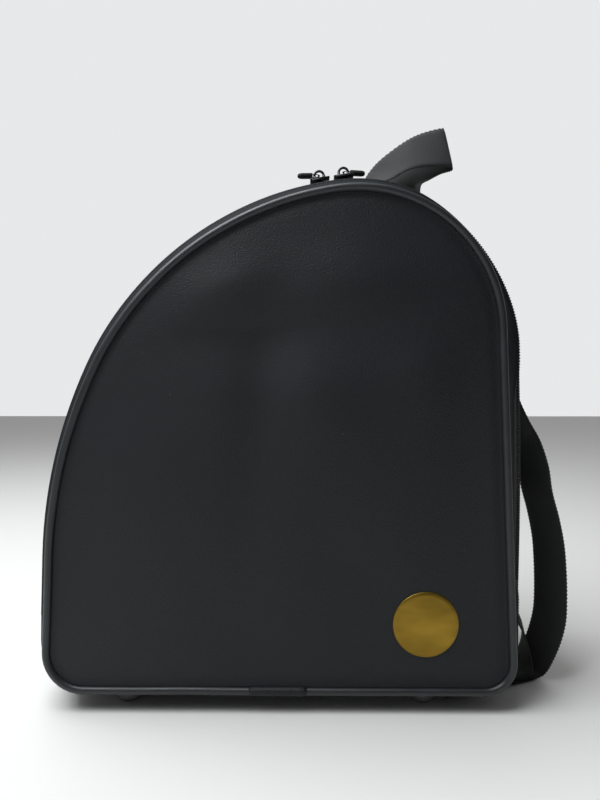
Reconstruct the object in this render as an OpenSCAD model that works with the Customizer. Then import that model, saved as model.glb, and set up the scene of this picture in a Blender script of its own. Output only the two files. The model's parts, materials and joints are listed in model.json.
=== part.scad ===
// Soft skate bag: a boot-shaped upright bag that stands on four feet. The front panel is a
// flap that folds down on its bottom seam when the two-slider zip round its edge is opened.
// Millimetres. +X is the heel side, -Y is the front, +Z is up; the floor is z = 0.

/* [Panel outline, on the centre line of the welt] */
// X of the centre of the large toe arc
toe_arc_x = 82; // [70:1:95]
// Height of the centre of the large toe arc
toe_arc_z = 172; // [150:1:190]
// Radius of the large toe arc
toe_arc_r = 262; // [240:1:280]
// Radius of the longer arc of the toe side
side_arc_r = 400; // [360:1:440]
// Angle at which the toe arc runs into the side arc
side_angle = 155; // [152:1:158]
// Radius of the tighter arc over the heel
top_arc_r = 119; // [105:1:135]
// Angle at which the heel arc runs into the toe arc
join_angle = 98; // [95:0.5:100]
// Outward lean of the straight toe side, degrees
toe_lean = 2; // [1.5:0.5:4]
// Outward lean of the straight heel side, degrees
heel_lean = 2; // [0:0.5:4]
// Radius of the bottom corner at the toe
toe_corner_r = 31; // [26:1:40]
// Radius of the bottom corner at the heel
heel_corner_r = 24; // [20:1:32]

/* [Body] */
// Depth between the centres of the front and back welts
bag_depth = 170; // [150:1:190]
// Height of the bottom seam above the floor
seam_z = 18; // [16:0.5:22]
// How far the zip line stands out beyond the welt
zip_growth = 14; // [10:0.5:17]
// How much faster the heel side grows than the toe side
heel_spread = 1.4; // [1:0.05:1.5]
// How far the base hangs below the bottom seam
base_sag = 5; // [3:0.5:6]
// Extra swell of the gusset behind the zip
swell = 1.5; // [0.5:0.25:3]
// Thickness of the gusset, the strip and the base
cloth_t = 2.5; // [1.5:0.25:3]
// Thickness of the front and back panel cloth
panel_t = 1.8; // [1.2:0.1:2.5]
// Thickness of the foam behind each panel
foam_t = 4; // [3:0.5:6]
// How far the middle of a panel swells outward
crown = 7; // [3:0.5:12]
// Radius of the welt
welt_r = 3; // [2.5:0.25:3.5]
// Thickness of the binding over the inner seams
binding_t = 1.5; // [1:0.25:2]

/* [Zip] */
// Distance of the zip line behind the front welt
zip_setback = 28; // [26:1:34]
// Height at which the zip ends on both sides
zip_end_z = 74; // [70:1:90]
// Width of each half of the tape
tape_w = 7.2; // [6.5:0.1:9]
// Thickness of the tape
tape_t = 1.1; // [0.8:0.1:1.4]
// Width of each row of coil
coil_w = 4; // [3:0.1:4.5]
// Height of each row of coil
coil_h = 2.4; // [2:0.1:3]
// Clear gap between the two rows
coil_gap = 1.6; // [1.4:0.1:2]

/* [Sliders and pulls] */
// Length of a slider along the zip
slider_l = 17; // [14:0.5:18]
// Width of a slider across the zip
slider_w = 13; // [11:0.5:14]
// Thickness of the plates of a slider
plate_t = 1.8; // [1.4:0.1:2.2]
// Radius of the arch that holds the pull
bail_r = 4; // [3.6:0.1:5]
// Radius of the wire of the arch
bail_wire_r = 1.1; // [0.9:0.05:1.2]
// Radius of the ring on each pull
ring_r = 3.6; // [3.2:0.1:4]
// Radius of the wire of the ring
ring_wire_r = 0.9; // [0.7:0.05:1]
// Length of the tab of each pull
tab_l = 13; // [10:0.5:18]
// Width of the tab
tab_w = 9; // [7:0.5:10]
// Thickness of the tab
tab_t = 2.4; // [2.2:0.1:2.6]
// Place of the toe slider on the toe arc, degrees
toe_slider_angle = 100.3; // [100.3:0.1:104]
// Place of the heel slider on the top arc, degrees
heel_slider_angle = 94.2; // [90:0.1:94.2]
// Tilt of the toe pull off the zip, degrees
toe_pull_tilt = 10; // [0:1:20]
// Tilt of the heel pull towards the zip, degrees
heel_pull_tilt = 8; // [0:1:8]

/* [Feet] */
// Radius of a foot
foot_r = 12; // [9:0.5:14]
// Distance of the toe feet in from the start of the toe corner
toe_foot_in = 38; // [16:1:50]
// Distance of the heel feet in from the start of the heel corner
heel_foot_in = 50.5; // [20:0.5:70]
// Distance of the feet in front of and behind the middle
foot_y = 60; // [50:1:64]
// Radius of the shank of a foot screw
screw_r = 2; // [1.5:0.1:2.5]
// Thickness of the base board
board_t = 3; // [2:0.5:4]

/* [Disc on the front panel] */
// X of the disc
disc_x = 118; // [100:1:125]
// Height of the disc
disc_z = 75; // [70:1:90]
// Radius of the disc
disc_r = 27; // [20:0.5:30]
// Thickness of the disc
disc_t = 1; // [0.8:0.1:1.5]

/* [Handle and strap] */
// Width of the webbing
web_w = 38; // [30:1:40]
// Thickness of the webbing
web_t = 1.6; // [1.2:0.1:2]
// Place of the middle of the handle on the top arc, degrees
handle_angle = 76; // [72:1:80]
// Distance of the middle of the handle behind the zip line
handle_setback = 32; // [29:1:48]
// Height of the handle above the gusset
handle_h = 62; // [50:1:75]
// How far the handle leans over to the heel side
handle_reach = 56; // [48:1:62]
// How far the strap hangs out from the heel at its lower half
strap_out = 48; // [35:1:60]
// Length of the strap end that lies on the floor under the bag
tail_l = 92; // [60:1:100]
// How far below the centre of the top arc the strap hangs free
strap_drop = 46; // [40:1:60]
// Height at which the lower tab is sewn to the heel wall
tab_z = 88; // [82:1:110]

/* [Hidden] */
$fn = 64;
// Clearance between pieces that move past each other or only touch
fit = 0.3;
// Steps along the corners, the three arcs and the base
corner_n = 6;
top_n = 20;
toe_n = 16;
side_n = 8;
base_n = 6;

y_front = -bag_depth / 2;
y_back = bag_depth / 2;
y_zip = y_front + zip_setback;
tape_front = y_zip - coil_gap / 2 - tape_w;
tape_back = y_zip + coil_gap / 2 + tape_w;
gusset_front = tape_back + fit;
c_toe = [toe_arc_x, toe_arc_z];
c_side = c_toe - (side_arc_r - toe_arc_r) * [cos(side_angle), sin(side_angle)];
base_z = seam_z - base_sag;
panel_mid = [0, 212];
// Where the cloth of the sides ends beside the welt
edge_y = welt_r + fit;
edge_g = cloth_t;
// Lean of the toe side at the zip, in degrees
zip_lean = 1.5;

// Outline family. g is the growth from the welt (0) to the zip line (zip_growth) and e is an
// offset square to the outline, so one cloth thickness is the same all the way round.
function share(g) = min(1, max(0, g / zip_growth));
function dir(a) = [cos(a), sin(a)];
function toe_r(g, e) = toe_arc_r + g + e;
function side_r(g, e) = side_arc_r + g + e;
function top_r(g, e) = top_arc_r + heel_spread * g + e;
function c_top(g) = c_toe + (toe_r(g, 0) - top_r(g, 0)) * dir(join_angle);
function lean_toe(g) = toe_lean + (zip_lean - toe_lean) * share(g);
function lean_heel(g) = heel_lean * (1 - share(g));
function floor_z(g, e) = seam_z - base_sag * share(g) - e;
function corner_r(r, g, e) = r + g / 2 + e;
function heel_line(g, e) = dir(lean_heel(g)) * c_top(g) + top_r(g, e);
function toe_line(g, e) = dir(180 - lean_toe(g)) * c_side + side_r(g, e);
function heel_x(g, e, z) = (heel_line(g, e) - sin(lean_heel(g)) * z) / cos(lean_heel(g));
function toe_x(g, e, z) = (sin(lean_toe(g)) * z - toe_line(g, e)) / cos(lean_toe(g));
function heel_corner(g) =
    let (r = corner_r(heel_corner_r, g, 0), z = floor_z(g, 0) + r)
    [((heel_line(g, 0) - r) - sin(lean_heel(g)) * z) / cos(lean_heel(g)), z];
function toe_corner(g) =
    let (r = corner_r(toe_corner_r, g, 0), z = floor_z(g, 0) + r)
    [(sin(lean_toe(g)) * z - (toe_line(g, 0) - r)) / cos(lean_toe(g)), z];
function arc(c, r, a, b, n) = [for (i = [0:n]) c + r * dir(a + (b - a) * i / n)];

function heel_bend(g, e) =
    arc(heel_corner(g), corner_r(heel_corner_r, g, e), -90, lean_heel(g), corner_n);
function toe_bend(g, e) =
    arc(toe_corner(g), corner_r(toe_corner_r, g, e), 180 - lean_toe(g), 270, corner_n);
function heel_wall(g, e) =
    let (top = c_top(g).y + top_r(g, e) * sin(lean_heel(g)))
    [for (z = [zip_end_z, (zip_end_z + top) / 2]) [heel_x(g, e, z), z]];
function toe_wall(g, e) =
    let (top = c_side.y + side_r(g, e) * sin(lean_toe(g)))
    [for (z = [(zip_end_z + top) / 2, zip_end_z]) [toe_x(g, e, z), z]];
function top_bend(g, e) = arc(c_top(g), top_r(g, e), lean_heel(g), join_angle, top_n);
function toe_big(g, e) =
    let (p = arc(c_toe, toe_r(g, e), join_angle, side_angle, toe_n),
         q = arc(c_side, side_r(g, e), side_angle, 180 - lean_toe(g), side_n))
    concat([for (i = [1:toe_n]) p[i]], [for (i = [1:side_n]) q[i]]);
function base_run(g, e, gap) =
    let (a = toe_corner(g).x + gap, b = heel_corner(g).x - gap)
    [for (i = [0:base_n]) [a + (b - a) * i / base_n, floor_z(g, e)]];

// The zip's arch, the corners below it, the whole side run and the closed loop
function arch(g, e) = concat(heel_wall(g, e), top_bend(g, e), toe_big(g, e), toe_wall(g, e));
function heel_low(g, e) =
    concat(heel_bend(g, e), [[heel_x(g, e, zip_end_z - fit), zip_end_z - fit]]);
function toe_low(g, e) =
    concat([[toe_x(g, e, zip_end_z - fit), zip_end_z - fit]], toe_bend(g, e));
function sides(g, e) = concat(heel_bend(g, e), arch(g, e), toe_bend(g, e));
function inner_base(g, e) =
    let (b = base_run(g, e, 0)) [for (i = [1:base_n - 1]) b[i]];
function loop(g, e) = concat(sides(g, e), inner_base(g, e));

function path(kind, g, e) =
    kind == "arch" ? arch(g, e) :
    kind == "heel" ? heel_low(g, e) :
    kind == "toe" ? toe_low(g, e) :
    kind == "sides" ? sides(g, e) :
    kind == "base" ? base_run(g, e, fit) : loop(g, e);

// Sweeps a section of [growth, offset, y] points along one of the runs above
module skin(section, kind) {
    runs = [for (p = section) path(kind, p[0], p[1])];
    m = len(section);
    n = len(runs[0]);
    closed = kind == "loop";
    points = [for (k = [0:n - 1]) for (j = [0:m - 1]) [runs[j][k].x, section[j][2], runs[j][k].y]];
    last = closed ? n - 1 : n - 2;
    walls = [for (k = [0:last]) for (j = [0:m - 1])
        let (a = k * m, b = ((k + 1) % n) * m, i = (j + 1) % m)
        each [[a + j, b + j, b + i], [a + j, b + i, a + i]]];
    end = (n - 1) * m;
    caps = closed ? [] : [for (i = [0:m / 2 - 2]) each [
        [i, i + 1, m - 2 - i],
        [i, m - 2 - i, m - 1 - i],
        [end + i, end + m - 2 - i, end + i + 1],
        [end + i, end + m - 1 - i, end + m - 2 - i]]];
    polyhedron(points, concat(walls, caps), convexity = 6);
}

// A run of cloth: outer points from front to back, and the same points pushed in by t
function shell(outer, t) =
    concat([for (i = [len(outer) - 1:-1:0]) [outer[i][0], -t, outer[i][1]]],
           [for (p = outer) [p[0], 0, p[1]]]);
function round_section(r, y) =
    [for (i = [0:9]) let (a = 36 * i) [0, r * cos(a), y + r * sin(a)]];

// Depth over which the gusset and the base draw in to the back welt
shoulder = 22;
// Growth of the gusset at a depth behind the zip
function gusset_y(k) = gusset_front + k * (y_back - gusset_front);
gusset_line = [[zip_growth, gusset_front], [zip_growth + swell, gusset_y(0.3)],
               [zip_growth + swell, gusset_y(0.59)], [zip_growth, y_back - shoulder],
               [edge_g, y_back - edge_y]];
function gusset_g(y) = lookup(y, [for (p = gusset_line) [p[1], p[0]]]);

// A panel: the outline drawn in from the welt, swelling towards its middle
rings = [1, 0.86, 0.62, 0.32];
function swell_y(s) = crown * (1 - s * s);
module dome(inset, y, t, side) {
    rim = loop(0, -inset);
    n = len(rim);
    k = len(rings);
    face = function(y0) concat(
        [for (s = rings) for (p = rim)
            let (q = panel_mid + s * (p - panel_mid)) [q.x, y0 + side * swell_y(s), q.y]],
        [[panel_mid.x, y0 + side * crown, panel_mid.y]]);
    count = n * k + 1;
    points = concat(face(y), face(y + t));
    span = [for (r = [0:k - 2]) for (i = [0:n - 1])
        let (a = r * n, b = (r + 1) * n, j = (i + 1) % n)
        each [[a + i, b + i, b + j], [a + i, b + j, a + j]]];
    fan = [for (i = [0:n - 1]) [(k - 1) * n + i, n * k, (k - 1) * n + (i + 1) % n]];
    near = concat(span, fan);
    far = [for (f = near) [f[0] + count, f[2] + count, f[1] + count]];
    rim_faces = [for (i = [0:n - 1]) let (j = (i + 1) % n)
        each [[i, j, count + j], [i, count + j, count + i]]];
    polyhedron(points, concat(near, far, rim_faces), convexity = 4);
}
function rim_share(p) =
    let (d = p - panel_mid, a = atan2(d.y, d.x), rim = loop(0, -welt_r - fit))
    norm(d) / max([for (q = rim)
        let (v = q - panel_mid, w = atan2(v.y, v.x))
        abs(w - a) < 6 ? norm(v) : 0]);

// Zip band of even section: straight, three arcs, straight, on the zip line. Neighbours overlap
// and differ by a hair in thickness, so no two faces lie exactly on each other.
hair = 0.02;
lap = 1;
module sector(c, r, e0, e1, a0, a1) {
    far = r * 1.3;
    translate(c)
        intersection() {
            difference() {
                circle(r + e1, $fn = 180);
                circle(r + e0, $fn = 180);
            }
            polygon([[0, 0], far * dir(a0), far * 1.2 * dir((a0 + a1) / 2), far * dir(a1)]);
        }
}
module band_shape(e0, e1) {
    g = zip_growth;
    t = lean_toe(g);
    h = lean_heel(g);
    heel_up = c_top(g).y + lap;
    toe_up = c_side.y + side_r(g, 0) * sin(t) + lap;
    f0 = e0 + hair;
    f1 = e1 - hair;
    sector(c_top(g), top_r(g, 0), f0, f1, h, join_angle + 0.4);
    sector(c_toe, toe_r(g, 0), e0, e1, join_angle, side_angle);
    sector(c_side, side_r(g, 0), f0, f1, side_angle - 0.4, 180 - t);
    polygon([[heel_x(g, e0, zip_end_z), zip_end_z], [heel_x(g, e1, zip_end_z), zip_end_z],
             [heel_x(g, e1, heel_up), heel_up], [heel_x(g, e0, heel_up), heel_up]]);
    polygon([[toe_x(g, e1, zip_end_z), zip_end_z], [toe_x(g, e0, zip_end_z), zip_end_z],
             [toe_x(g, e0, toe_up), toe_up], [toe_x(g, e1, toe_up), toe_up]]);
}
module band(e0, e1, y0, y1) {
    translate([0, y1, 0])
        rotate([90, 0, 0])
            linear_extrude(y1 - y0) band_shape(e0, e1);
}

// Webbing: a ribbon through pairs of edge points, t thick
function unit(v) = v / norm(v);
function facing(a, b, i) =
    let (n = len(a), p = max(0, i - 1), q = min(n - 1, i + 1))
    unit(cross((a[q] + b[q]) - (a[p] + b[p]), b[i] - a[i]));
module ribbon(a, b, t) {
    n = len(a);
    points = [for (i = [0:n - 1]) let (f = facing(a, b, i) * t / 2)
        each [a[i] - f, a[i] + f, b[i] + f, b[i] - f]];
    walls = [for (i = [0:n - 2]) for (j = [0:3])
        let (p = 4 * i, q = 4 * i + 4, k = (j + 1) % 4)
        each [[p + j, q + j, q + k], [p + j, q + k, p + k]]];
    z = 4 * (n - 1);
    polyhedron(points, concat(walls, [[0, 1, 2], [0, 2, 3], [z, z + 2, z + 1], [z, z + 3, z + 2]]),
               convexity = 6);
}
// A point on the gusset over the top arc, lifted by e, and one level with its widest swell
function on_top(angle, y, e, g) = let (p = c_top(g) + top_r(g, e) * dir(angle)) [p.x, y, p.y];
function on_gusset(angle, y, e) = on_top(angle, y, e, gusset_g(y));
function on_swell(angle, y, e) = on_top(angle, y, e, zip_growth + swell);

// Turns drawing-plane pieces so that x, y lie along X, Z and depth runs towards the front
module about(c) {
    translate([c.x, 0, c.y]) rotate([90, 0, 0]) children();
}

// Back of the bag

// Edges of the binding, in from the welt
binding_in = welt_r + 2;
binding_out = binding_in + 9;

module back_panel() {
    color("#25282b") dome(welt_r + fit, y_back - 0.6, panel_t, 1);
}

module back_foam() {
    color("#3a3d40") dome(welt_r + 3, y_back - 0.7 - foam_t, foam_t, 1);
}

module back_welt() {
    color("#2e3236") skin(round_section(welt_r, y_back), "loop");
}

module back_binding() {
    y = y_back - 0.8 - foam_t;
    color("#1d1f21")
        skin([[0, -binding_in, y], [0, -binding_out, y], [0, -binding_out, y - binding_t],
              [0, -binding_in, y - binding_t]], "loop");
}

module rear_gusset() {
    color("#24272a") skin(shell(gusset_line, cloth_t), "sides");
}

// Base, its board and the feet

base_x0 = toe_corner(zip_growth).x;
base_x1 = heel_corner(zip_growth).x;
base_line = [[edge_g, y_front + edge_y], [zip_growth, tape_front], [zip_growth, y_back - shoulder],
             [edge_g, y_back - edge_y]];
foot_places = [for (x = [base_x0 + toe_foot_in, base_x1 - heel_foot_in]) for (y = [-foot_y, foot_y]) [x, y]];
board_z = base_z + cloth_t + 0.1;
board_in = 2;

module foot_holes(r) {
    for (p = foot_places)
        translate([p.x, p.y, -1]) cylinder(h = 60, r = r);
}

module base_panel() {
    color("#212427")
        difference() {
            skin(shell(base_line, cloth_t), "base");
            foot_holes(screw_r + 0.1);
        }
}

module base_board() {
    x0 = base_x0 + board_in;
    x1 = base_x1 - board_in;
    y0 = tape_front + 2 * board_in;
    y1 = y_back - shoulder - 2 * board_in;
    color("#4a4d50")
        difference() {
            translate([x0, y0, board_z]) cube([x1 - x0, y1 - y0, board_t]);
            foot_holes(screw_r + 0.1);
        }
}

module feet() {
    h = base_z;
    color("#161718")
        for (p = foot_places)
            translate([p.x, p.y, 0])
                rotate_extrude()
                    polygon([[screw_r + 0.1, h], [screw_r + 0.1, 6], [screw_r + 2.6, 6],
                             [screw_r + 2.6, 0], [foot_r * 0.62, 0], [foot_r * 0.82, h * 0.12],
                             [foot_r * 0.95, h * 0.34], [foot_r, h * 0.62], [foot_r, h]]);
}

module foot_screws() {
    top = board_z + board_t + 6;
    color("#8b8f93")
        for (p = foot_places)
            translate([p.x, p.y, 0])
                rotate_extrude()
                    polygon([[0, 3.6], [screw_r + 2, 3.6], [screw_r + 2, 5.9], [screw_r, 5.9],
                             [screw_r, top], [0, top]]);
}

module foot_nuts() {
    color("#8b8f93")
        for (p = foot_places)
            translate([p.x, p.y, board_z + board_t])
                difference() {
                    union() {
                        cylinder(h = 1.2, r = foot_r * 0.75);
                        translate([0, 0, 1]) cylinder(h = 3.4, r = 3.6 + screw_r - 2, $fn = 6);
                    }
                    translate([0, 0, -1]) cylinder(h = 8, r = screw_r + 0.1);
                }
}

// Soft corners between the ends of the zip and the base

corner_line = [[edge_g, y_front + edge_y], [zip_growth, tape_front], [zip_growth, tape_back]];

module toe_corner_gusset() {
    color("#24272a") skin(shell(corner_line, cloth_t), "toe");
}

module heel_corner_gusset() {
    color("#24272a") skin(shell(corner_line, cloth_t), "heel");
}

// Zip, back half, fixed to the gusset

module rear_zip_tape() {
    color("#17191b") band(-tape_t, 0, tape_back - tape_w, tape_back);
}

module rear_zip_coil() {
    color("#0f1011") band(0, coil_h, y_zip + coil_gap / 2, y_zip + coil_gap / 2 + coil_w);
}

module zip_end_stops() {
    z = zip_end_z - 7;
    w = coil_w * 2 + coil_gap;
    color("#101112") {
        translate([heel_x(zip_growth, 0, z) + 0.1, y_zip - w / 2, z]) cube([coil_h, w, 5]);
        translate([toe_x(zip_growth, 0, z) - 0.1 - coil_h, y_zip - w / 2, z]) cube([coil_h, w, 5]);
    }
}

// Front flap

module front_panel() {
    color("#2a2e31") dome(welt_r + fit, y_front - panel_t + 0.6, panel_t, -1);
}

module front_foam() {
    color("#3a3d40") dome(welt_r + 3, y_front + 0.7, foam_t, -1);
}

module front_welt() {
    color("#33383c") skin(round_section(welt_r, y_front), "loop");
}

module front_binding() {
    y = y_front + 0.8 + foam_t;
    color("#1d1f21")
        skin([[0, -binding_in, y + binding_t], [0, -binding_out, y + binding_t], [0, -binding_out, y],
              [0, -binding_in, y]], "loop");
}

module front_strip() {
    color("#2a2e31")
        skin(shell([[edge_g, y_front + edge_y], [zip_growth, tape_front - fit]], cloth_t), "arch");
}

module front_zip_tape() {
    color("#17191b") band(-tape_t, 0, tape_front, tape_front + tape_w);
}

module front_zip_coil() {
    color("#0f1011") band(0, coil_h, y_zip - coil_gap / 2 - coil_w, y_zip - coil_gap / 2);
}

module badge_disc() {
    p = [disc_x, disc_z];
    s = rim_share(p);
    d = p - panel_mid;
    tilt = atan(2 * crown * s * s / norm(d));
    y = y_front - panel_t + 0.6 - swell_y(s) - 0.35;
    color("#b5893a")
        translate([disc_x, y, disc_z])
            rotate(a = -tilt, v = [d.y, 0, -d.x] / norm(d))
                rotate([90, 0, 0])
                    cylinder(h = disc_t, r = disc_r, $fn = 96);
}

// Sliders and their pulls. Each is drawn on its own arc, at an angle along it.

slot_top = coil_h + 1;
slot_low = -tape_t - 0.9;
pull_e = slot_top + plate_t + 2.7;

module slider_plate(r, e, half) {
    rotate([0, 0, -half])
        rotate_extrude(angle = 2 * half, $fn = 180)
            translate([r + e, -y_zip - slider_w / 2]) square([plate_t, slider_w]);
}

module slider(c, r, angle) {
    half = slider_l / 2 / r * 180 / PI;
    about(c) rotate([0, 0, angle]) {
        slider_plate(r, slot_top, half);
        slider_plate(r, slot_low - plate_t, half);
        translate([r + slot_low - 0.5, -3, -y_zip - 0.5])
            cube([slot_top - slot_low + 1, 6, 1]);
        translate([r + pull_e, 0, -y_zip])
            rotate([0, 0, -90])
                rotate_extrude(angle = 180) translate([bail_r, 0]) circle(bail_wire_r);
        for (side = [-1, 1])
            translate([r + slot_top + plate_t / 2, side * bail_r, -y_zip])
                rotate([0, 90, 0]) cylinder(h = pull_e - slot_top - plate_t / 2, r = bail_wire_r + 0.2);
    }
}

module at_pull(c, r, angle, tilt) {
    about(c)
        rotate([0, 0, angle])
            translate([r + pull_e, 0, -y_zip])
                rotate([0, 0, tilt]) children();
}

module pull_ring(side) {
    translate([0, side * ring_r, 0])
        rotate([0, 90, 0])
            rotate_extrude() translate([ring_r, 0]) circle(ring_wire_r, $fn = 32);
}

module pull_tab(side) {
    near = 2 * ring_r - 1.6;
    difference() {
        translate([-tab_t / 2, 0, 0])
            rotate([0, 90, 0])
                linear_extrude(tab_t) {
                    translate([-tab_w / 2, side > 0 ? near : -near - tab_l + tab_w / 2])
                        square([tab_w, tab_l - tab_w / 2]);
                    translate([0, side * (near + tab_l - tab_w / 2)]) circle(tab_w / 2);
                }
        translate([0, side * ring_r, 0])
            rotate([0, 90, 0])
                rotate_extrude() translate([ring_r, 0]) circle(ring_wire_r + 0.05, $fn = 32);
    }
}

module toe_slider() {
    color("#141516") slider(c_toe, toe_r(zip_growth, 0), toe_slider_angle);
}

module toe_pull_ring() {
    color("#2b2d2f")
        at_pull(c_toe, toe_r(zip_growth, 0), toe_slider_angle, -toe_pull_tilt) pull_ring(1);
}

module toe_pull_tab() {
    color("#121314")
        at_pull(c_toe, toe_r(zip_growth, 0), toe_slider_angle, -toe_pull_tilt) pull_tab(1);
}

module heel_slider() {
    color("#141516") slider(c_top(zip_growth), top_r(zip_growth, 0), heel_slider_angle);
}

module heel_pull_ring() {
    color("#2b2d2f")
        at_pull(c_top(zip_growth), top_r(zip_growth, 0), heel_slider_angle, -heel_pull_tilt)
            pull_ring(-1);
}

module heel_pull_tab() {
    color("#121314")
        at_pull(c_top(zip_growth), top_r(zip_growth, 0), heel_slider_angle, -heel_pull_tilt)
            pull_tab(-1);
}

// Handle: webbing with both ends sewn to the gusset, flopped to the heel side and twisted

web_e = fit + web_t / 2;
handle_foot = on_gusset(handle_angle, y_zip + handle_setback, 0);
handle_half = web_w / 2;
function handle_at(v) = handle_foot + [v.x * handle_reach, v.y * web_w, v.z * handle_h];

// Near and far edges of the free loop, from the foot of the handle, as shares of the reach, the
// width of the webbing and the height
loop_near = [for (v = [[-0.268, -0.5, 0.21], [-0.161, -0.5, 0.234], [0, -0.487, 0.258],
    [0.232, -0.447, 0.29], [0.446, -0.395, 0.355], [0.714, -0.316, 0.387], [0.946, -0.224, 0.387],
    [1, -0.118, 0.382], [0.982, -0.039, 0.371], [0.804, -0.132, 0.315], [0.607, -0.263, 0.25],
    [0.464, -0.395, 0.21]]) handle_at(v)];
loop_far = [for (v = [[-0.446, 0.5, 0.21], [-0.393, 0.474, 0.323], [-0.304, 0.368, 0.452],
    [-0.125, 0.184, 0.597], [0.232, 0.105, 0.823], [0.5, 0.053, 0.935], [0.821, 0, 1],
    [0.884, 0.092, 1], [0.875, 0.171, 0.968], [0.714, 0.342, 0.79], [0.536, 0.474, 0.484],
    [0.393, 0.5, 0.21]]) handle_at(v)];

// The sewn ends lie on the gusset and then turn up to meet the loop
function end_edge(side, y) =
    let (spread = handle_reach * (side < 0 ? 0.357 : 0.429), r = top_r(zip_growth, 0),
         a = handle_angle - side * spread / r * 180 / PI,
         step = -side * handle_reach / 8 / r * 180 / PI)
    [for (k = [4:-1:0]) on_gusset(a + step * k, y, web_e)];
// and stop just short of it
loop_gap = 0.8;
function riser(flat, top) =
    let (way = top - flat[4])
    concat(flat, [flat[4] + way * 0.35 + [0, 0, -0.6], top - unit(way) * loop_gap]);

module handle_ends() {
    last = len(loop_near) - 1;
    y0 = handle_foot.y - handle_half;
    y1 = handle_foot.y + handle_half;
    color("#3b3e41") {
        ribbon(riser(end_edge(-1, y0), loop_near[0]), riser(end_edge(-1, y1), loop_far[0]), web_t);
        ribbon(riser(end_edge(1, y0), loop_near[last]), riser(end_edge(1, y1), loop_far[last]), web_t);
    }
}

module handle_loop() {
    color("#45484b") ribbon(loop_near, loop_far, web_t);
}

// Shoulder strap: sewn on the gusset over the heel, hanging free down to the floor, where its
// loose end lies under the bag; a short tab ties it to the foot of the heel wall

wall_x = heel_x(zip_growth + swell, 0, zip_end_z);
strap_top = c_top(zip_growth).y - strap_drop;
// Stand-off from the heel wall, y and height of the middle of the strap, as shares of strap_out,
// web_w and strap_top, and the twist of the strap in degrees
strap_run = [[0.2, 0, 1, 10], [0.35, 0, 0.916, 18], [0.555, 0, 0.836, 24], [0.68, -0.08, 0.748, 26],
    [0.73, -0.16, 0.66, 26], [0.84, -0.21, 0.573, 26], [0.925, -0.26, 0.481, 26], [0.94, -0.34, 0.397, 26],
    [0.93, -0.42, 0.305, 26], [0.895, -0.47, 0.218, 26], [0.8, -0.47, 0.145, 26], [0.69, -0.4, 0.08, 25],
    [0.62, -0.29, 0.0344, 23], [0.55, -0.21, 0.0122, 20]];
function strap_mid(s) = [wall_x + s[0] * strap_out, s[1] * web_w, s[2] * strap_top];
function across(twist) = [sin(twist), -cos(twist), 0];
function strap_edge(s, side) = strap_mid(s) + side * web_w / 2 * across(s[3]);
// The loose end turns in under the bag
tail_turn = 20.3;
tail_way = -[cos(tail_turn), sin(tail_turn), 0];
floor_mid = strap_mid(strap_run[len(strap_run) - 1]) + 0.25 * web_w * tail_way;
function tail_mid(k) = [floor_mid.x, floor_mid.y, web_t / 2 + 0.4] + k * tail_l * tail_way;
function tail_edge(k, side) = tail_mid(k) + side * web_w / 2 * across(tail_turn);
tail_steps = [0.08, 0.5, 1];

module shoulder_strap() {
    color("#3f4245")
        ribbon(concat([for (s = strap_run) strap_edge(s, 1)], [for (k = tail_steps) tail_edge(k, 1)]),
               concat([for (s = strap_run) strap_edge(s, -1)], [for (k = tail_steps) tail_edge(k, -1)]),
               web_t);
}

// Sewn length on the gusset and the bend that leads to the free strap
function upper_edge(side) =
    let (top = strap_edge(strap_run[0], side), y = -side * web_w / 2,
         flat = [for (a = [54:-6:24]) on_swell(a, y, web_e)], low = flat[len(flat) - 1],
         way = top + [0, 0, fit] - low)
    concat(flat, [low + [way.x * 0.42, way.y * 0.1, way.z * 0.2],
                  low + [way.x * 0.72, way.y * 0.4, way.z * 0.5],
                  low + [way.x * 0.88, way.y * 0.75, way.z * 0.78], low + way]);

module strap_upper_end() {
    color("#3f4245") ribbon(upper_edge(1), upper_edge(-1), web_t);
}

// The lower tab is sewn to the heel wall, hangs down and is sewn on top of the strap's loose end
tab_share = 0.84;
tab_y = -0.37 * web_w;
// Stand-off, y and height of the hanging part of the tab, as shares of strap_out, web_w and
// tab_z, and its twist in degrees
tab_run = [[0.21, -0.395, 0.7, -16], [0.38, -0.408, 0.53, -17], [0.45, -0.421, 0.352, -8],
    [0.44, -0.421, 0.205, 4], [0.37, -0.447, 0.102, 14]];
function tab_edge(side) =
    let (half = side * web_w * tab_share / 2, y = tab_y - half,
         wall = [for (k = [1, 0.9, 0.8]) [wall_x + web_e, y, k * tab_z]],
         hang = [for (s = tab_run)
             [wall_x + s[0] * strap_out, s[1] * web_w, s[2] * tab_z] + half * across(s[3])],
         low = [for (k = [0.13, 0.21, 0.34])
             tail_mid(k) + [0, 0, web_t + fit] + half * across(tail_turn)])
    concat(wall, hang, low);

module lower_anchor_tab() {
    color("#3f4245") ribbon(tab_edge(1), tab_edge(-1), web_t);
}

// Half way between the outermost points at the toe and at the strap: X is counted from there
mid_x = (toe_x(zip_growth, coil_h, zip_end_z) + max([for (s = strap_run) strap_edge(s, 1).x])) / 2;

translate([-mid_x, 0, 0]) {
    back_panel();
    back_foam();
    back_welt();
    back_binding();
    rear_gusset();
    base_panel();
    base_board();
    feet();
    foot_screws();
    foot_nuts();
    toe_corner_gusset();
    heel_corner_gusset();
    rear_zip_tape();
    rear_zip_coil();
    zip_end_stops();
    front_panel();
    front_foam();
    front_welt();
    front_binding();
    front_strip();
    front_zip_tape();
    front_zip_coil();
    badge_disc();
    toe_slider();
    toe_pull_ring();
    toe_pull_tab();
    heel_slider();
    heel_pull_ring();
    heel_pull_tab();
    handle_ends();
    handle_loop();
    strap_upper_end();
    shoulder_strap();
    lower_anchor_tab();
}
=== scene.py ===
import json
import math

import bmesh
import bpy
from mathutils import Matrix, Vector, noise


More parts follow.
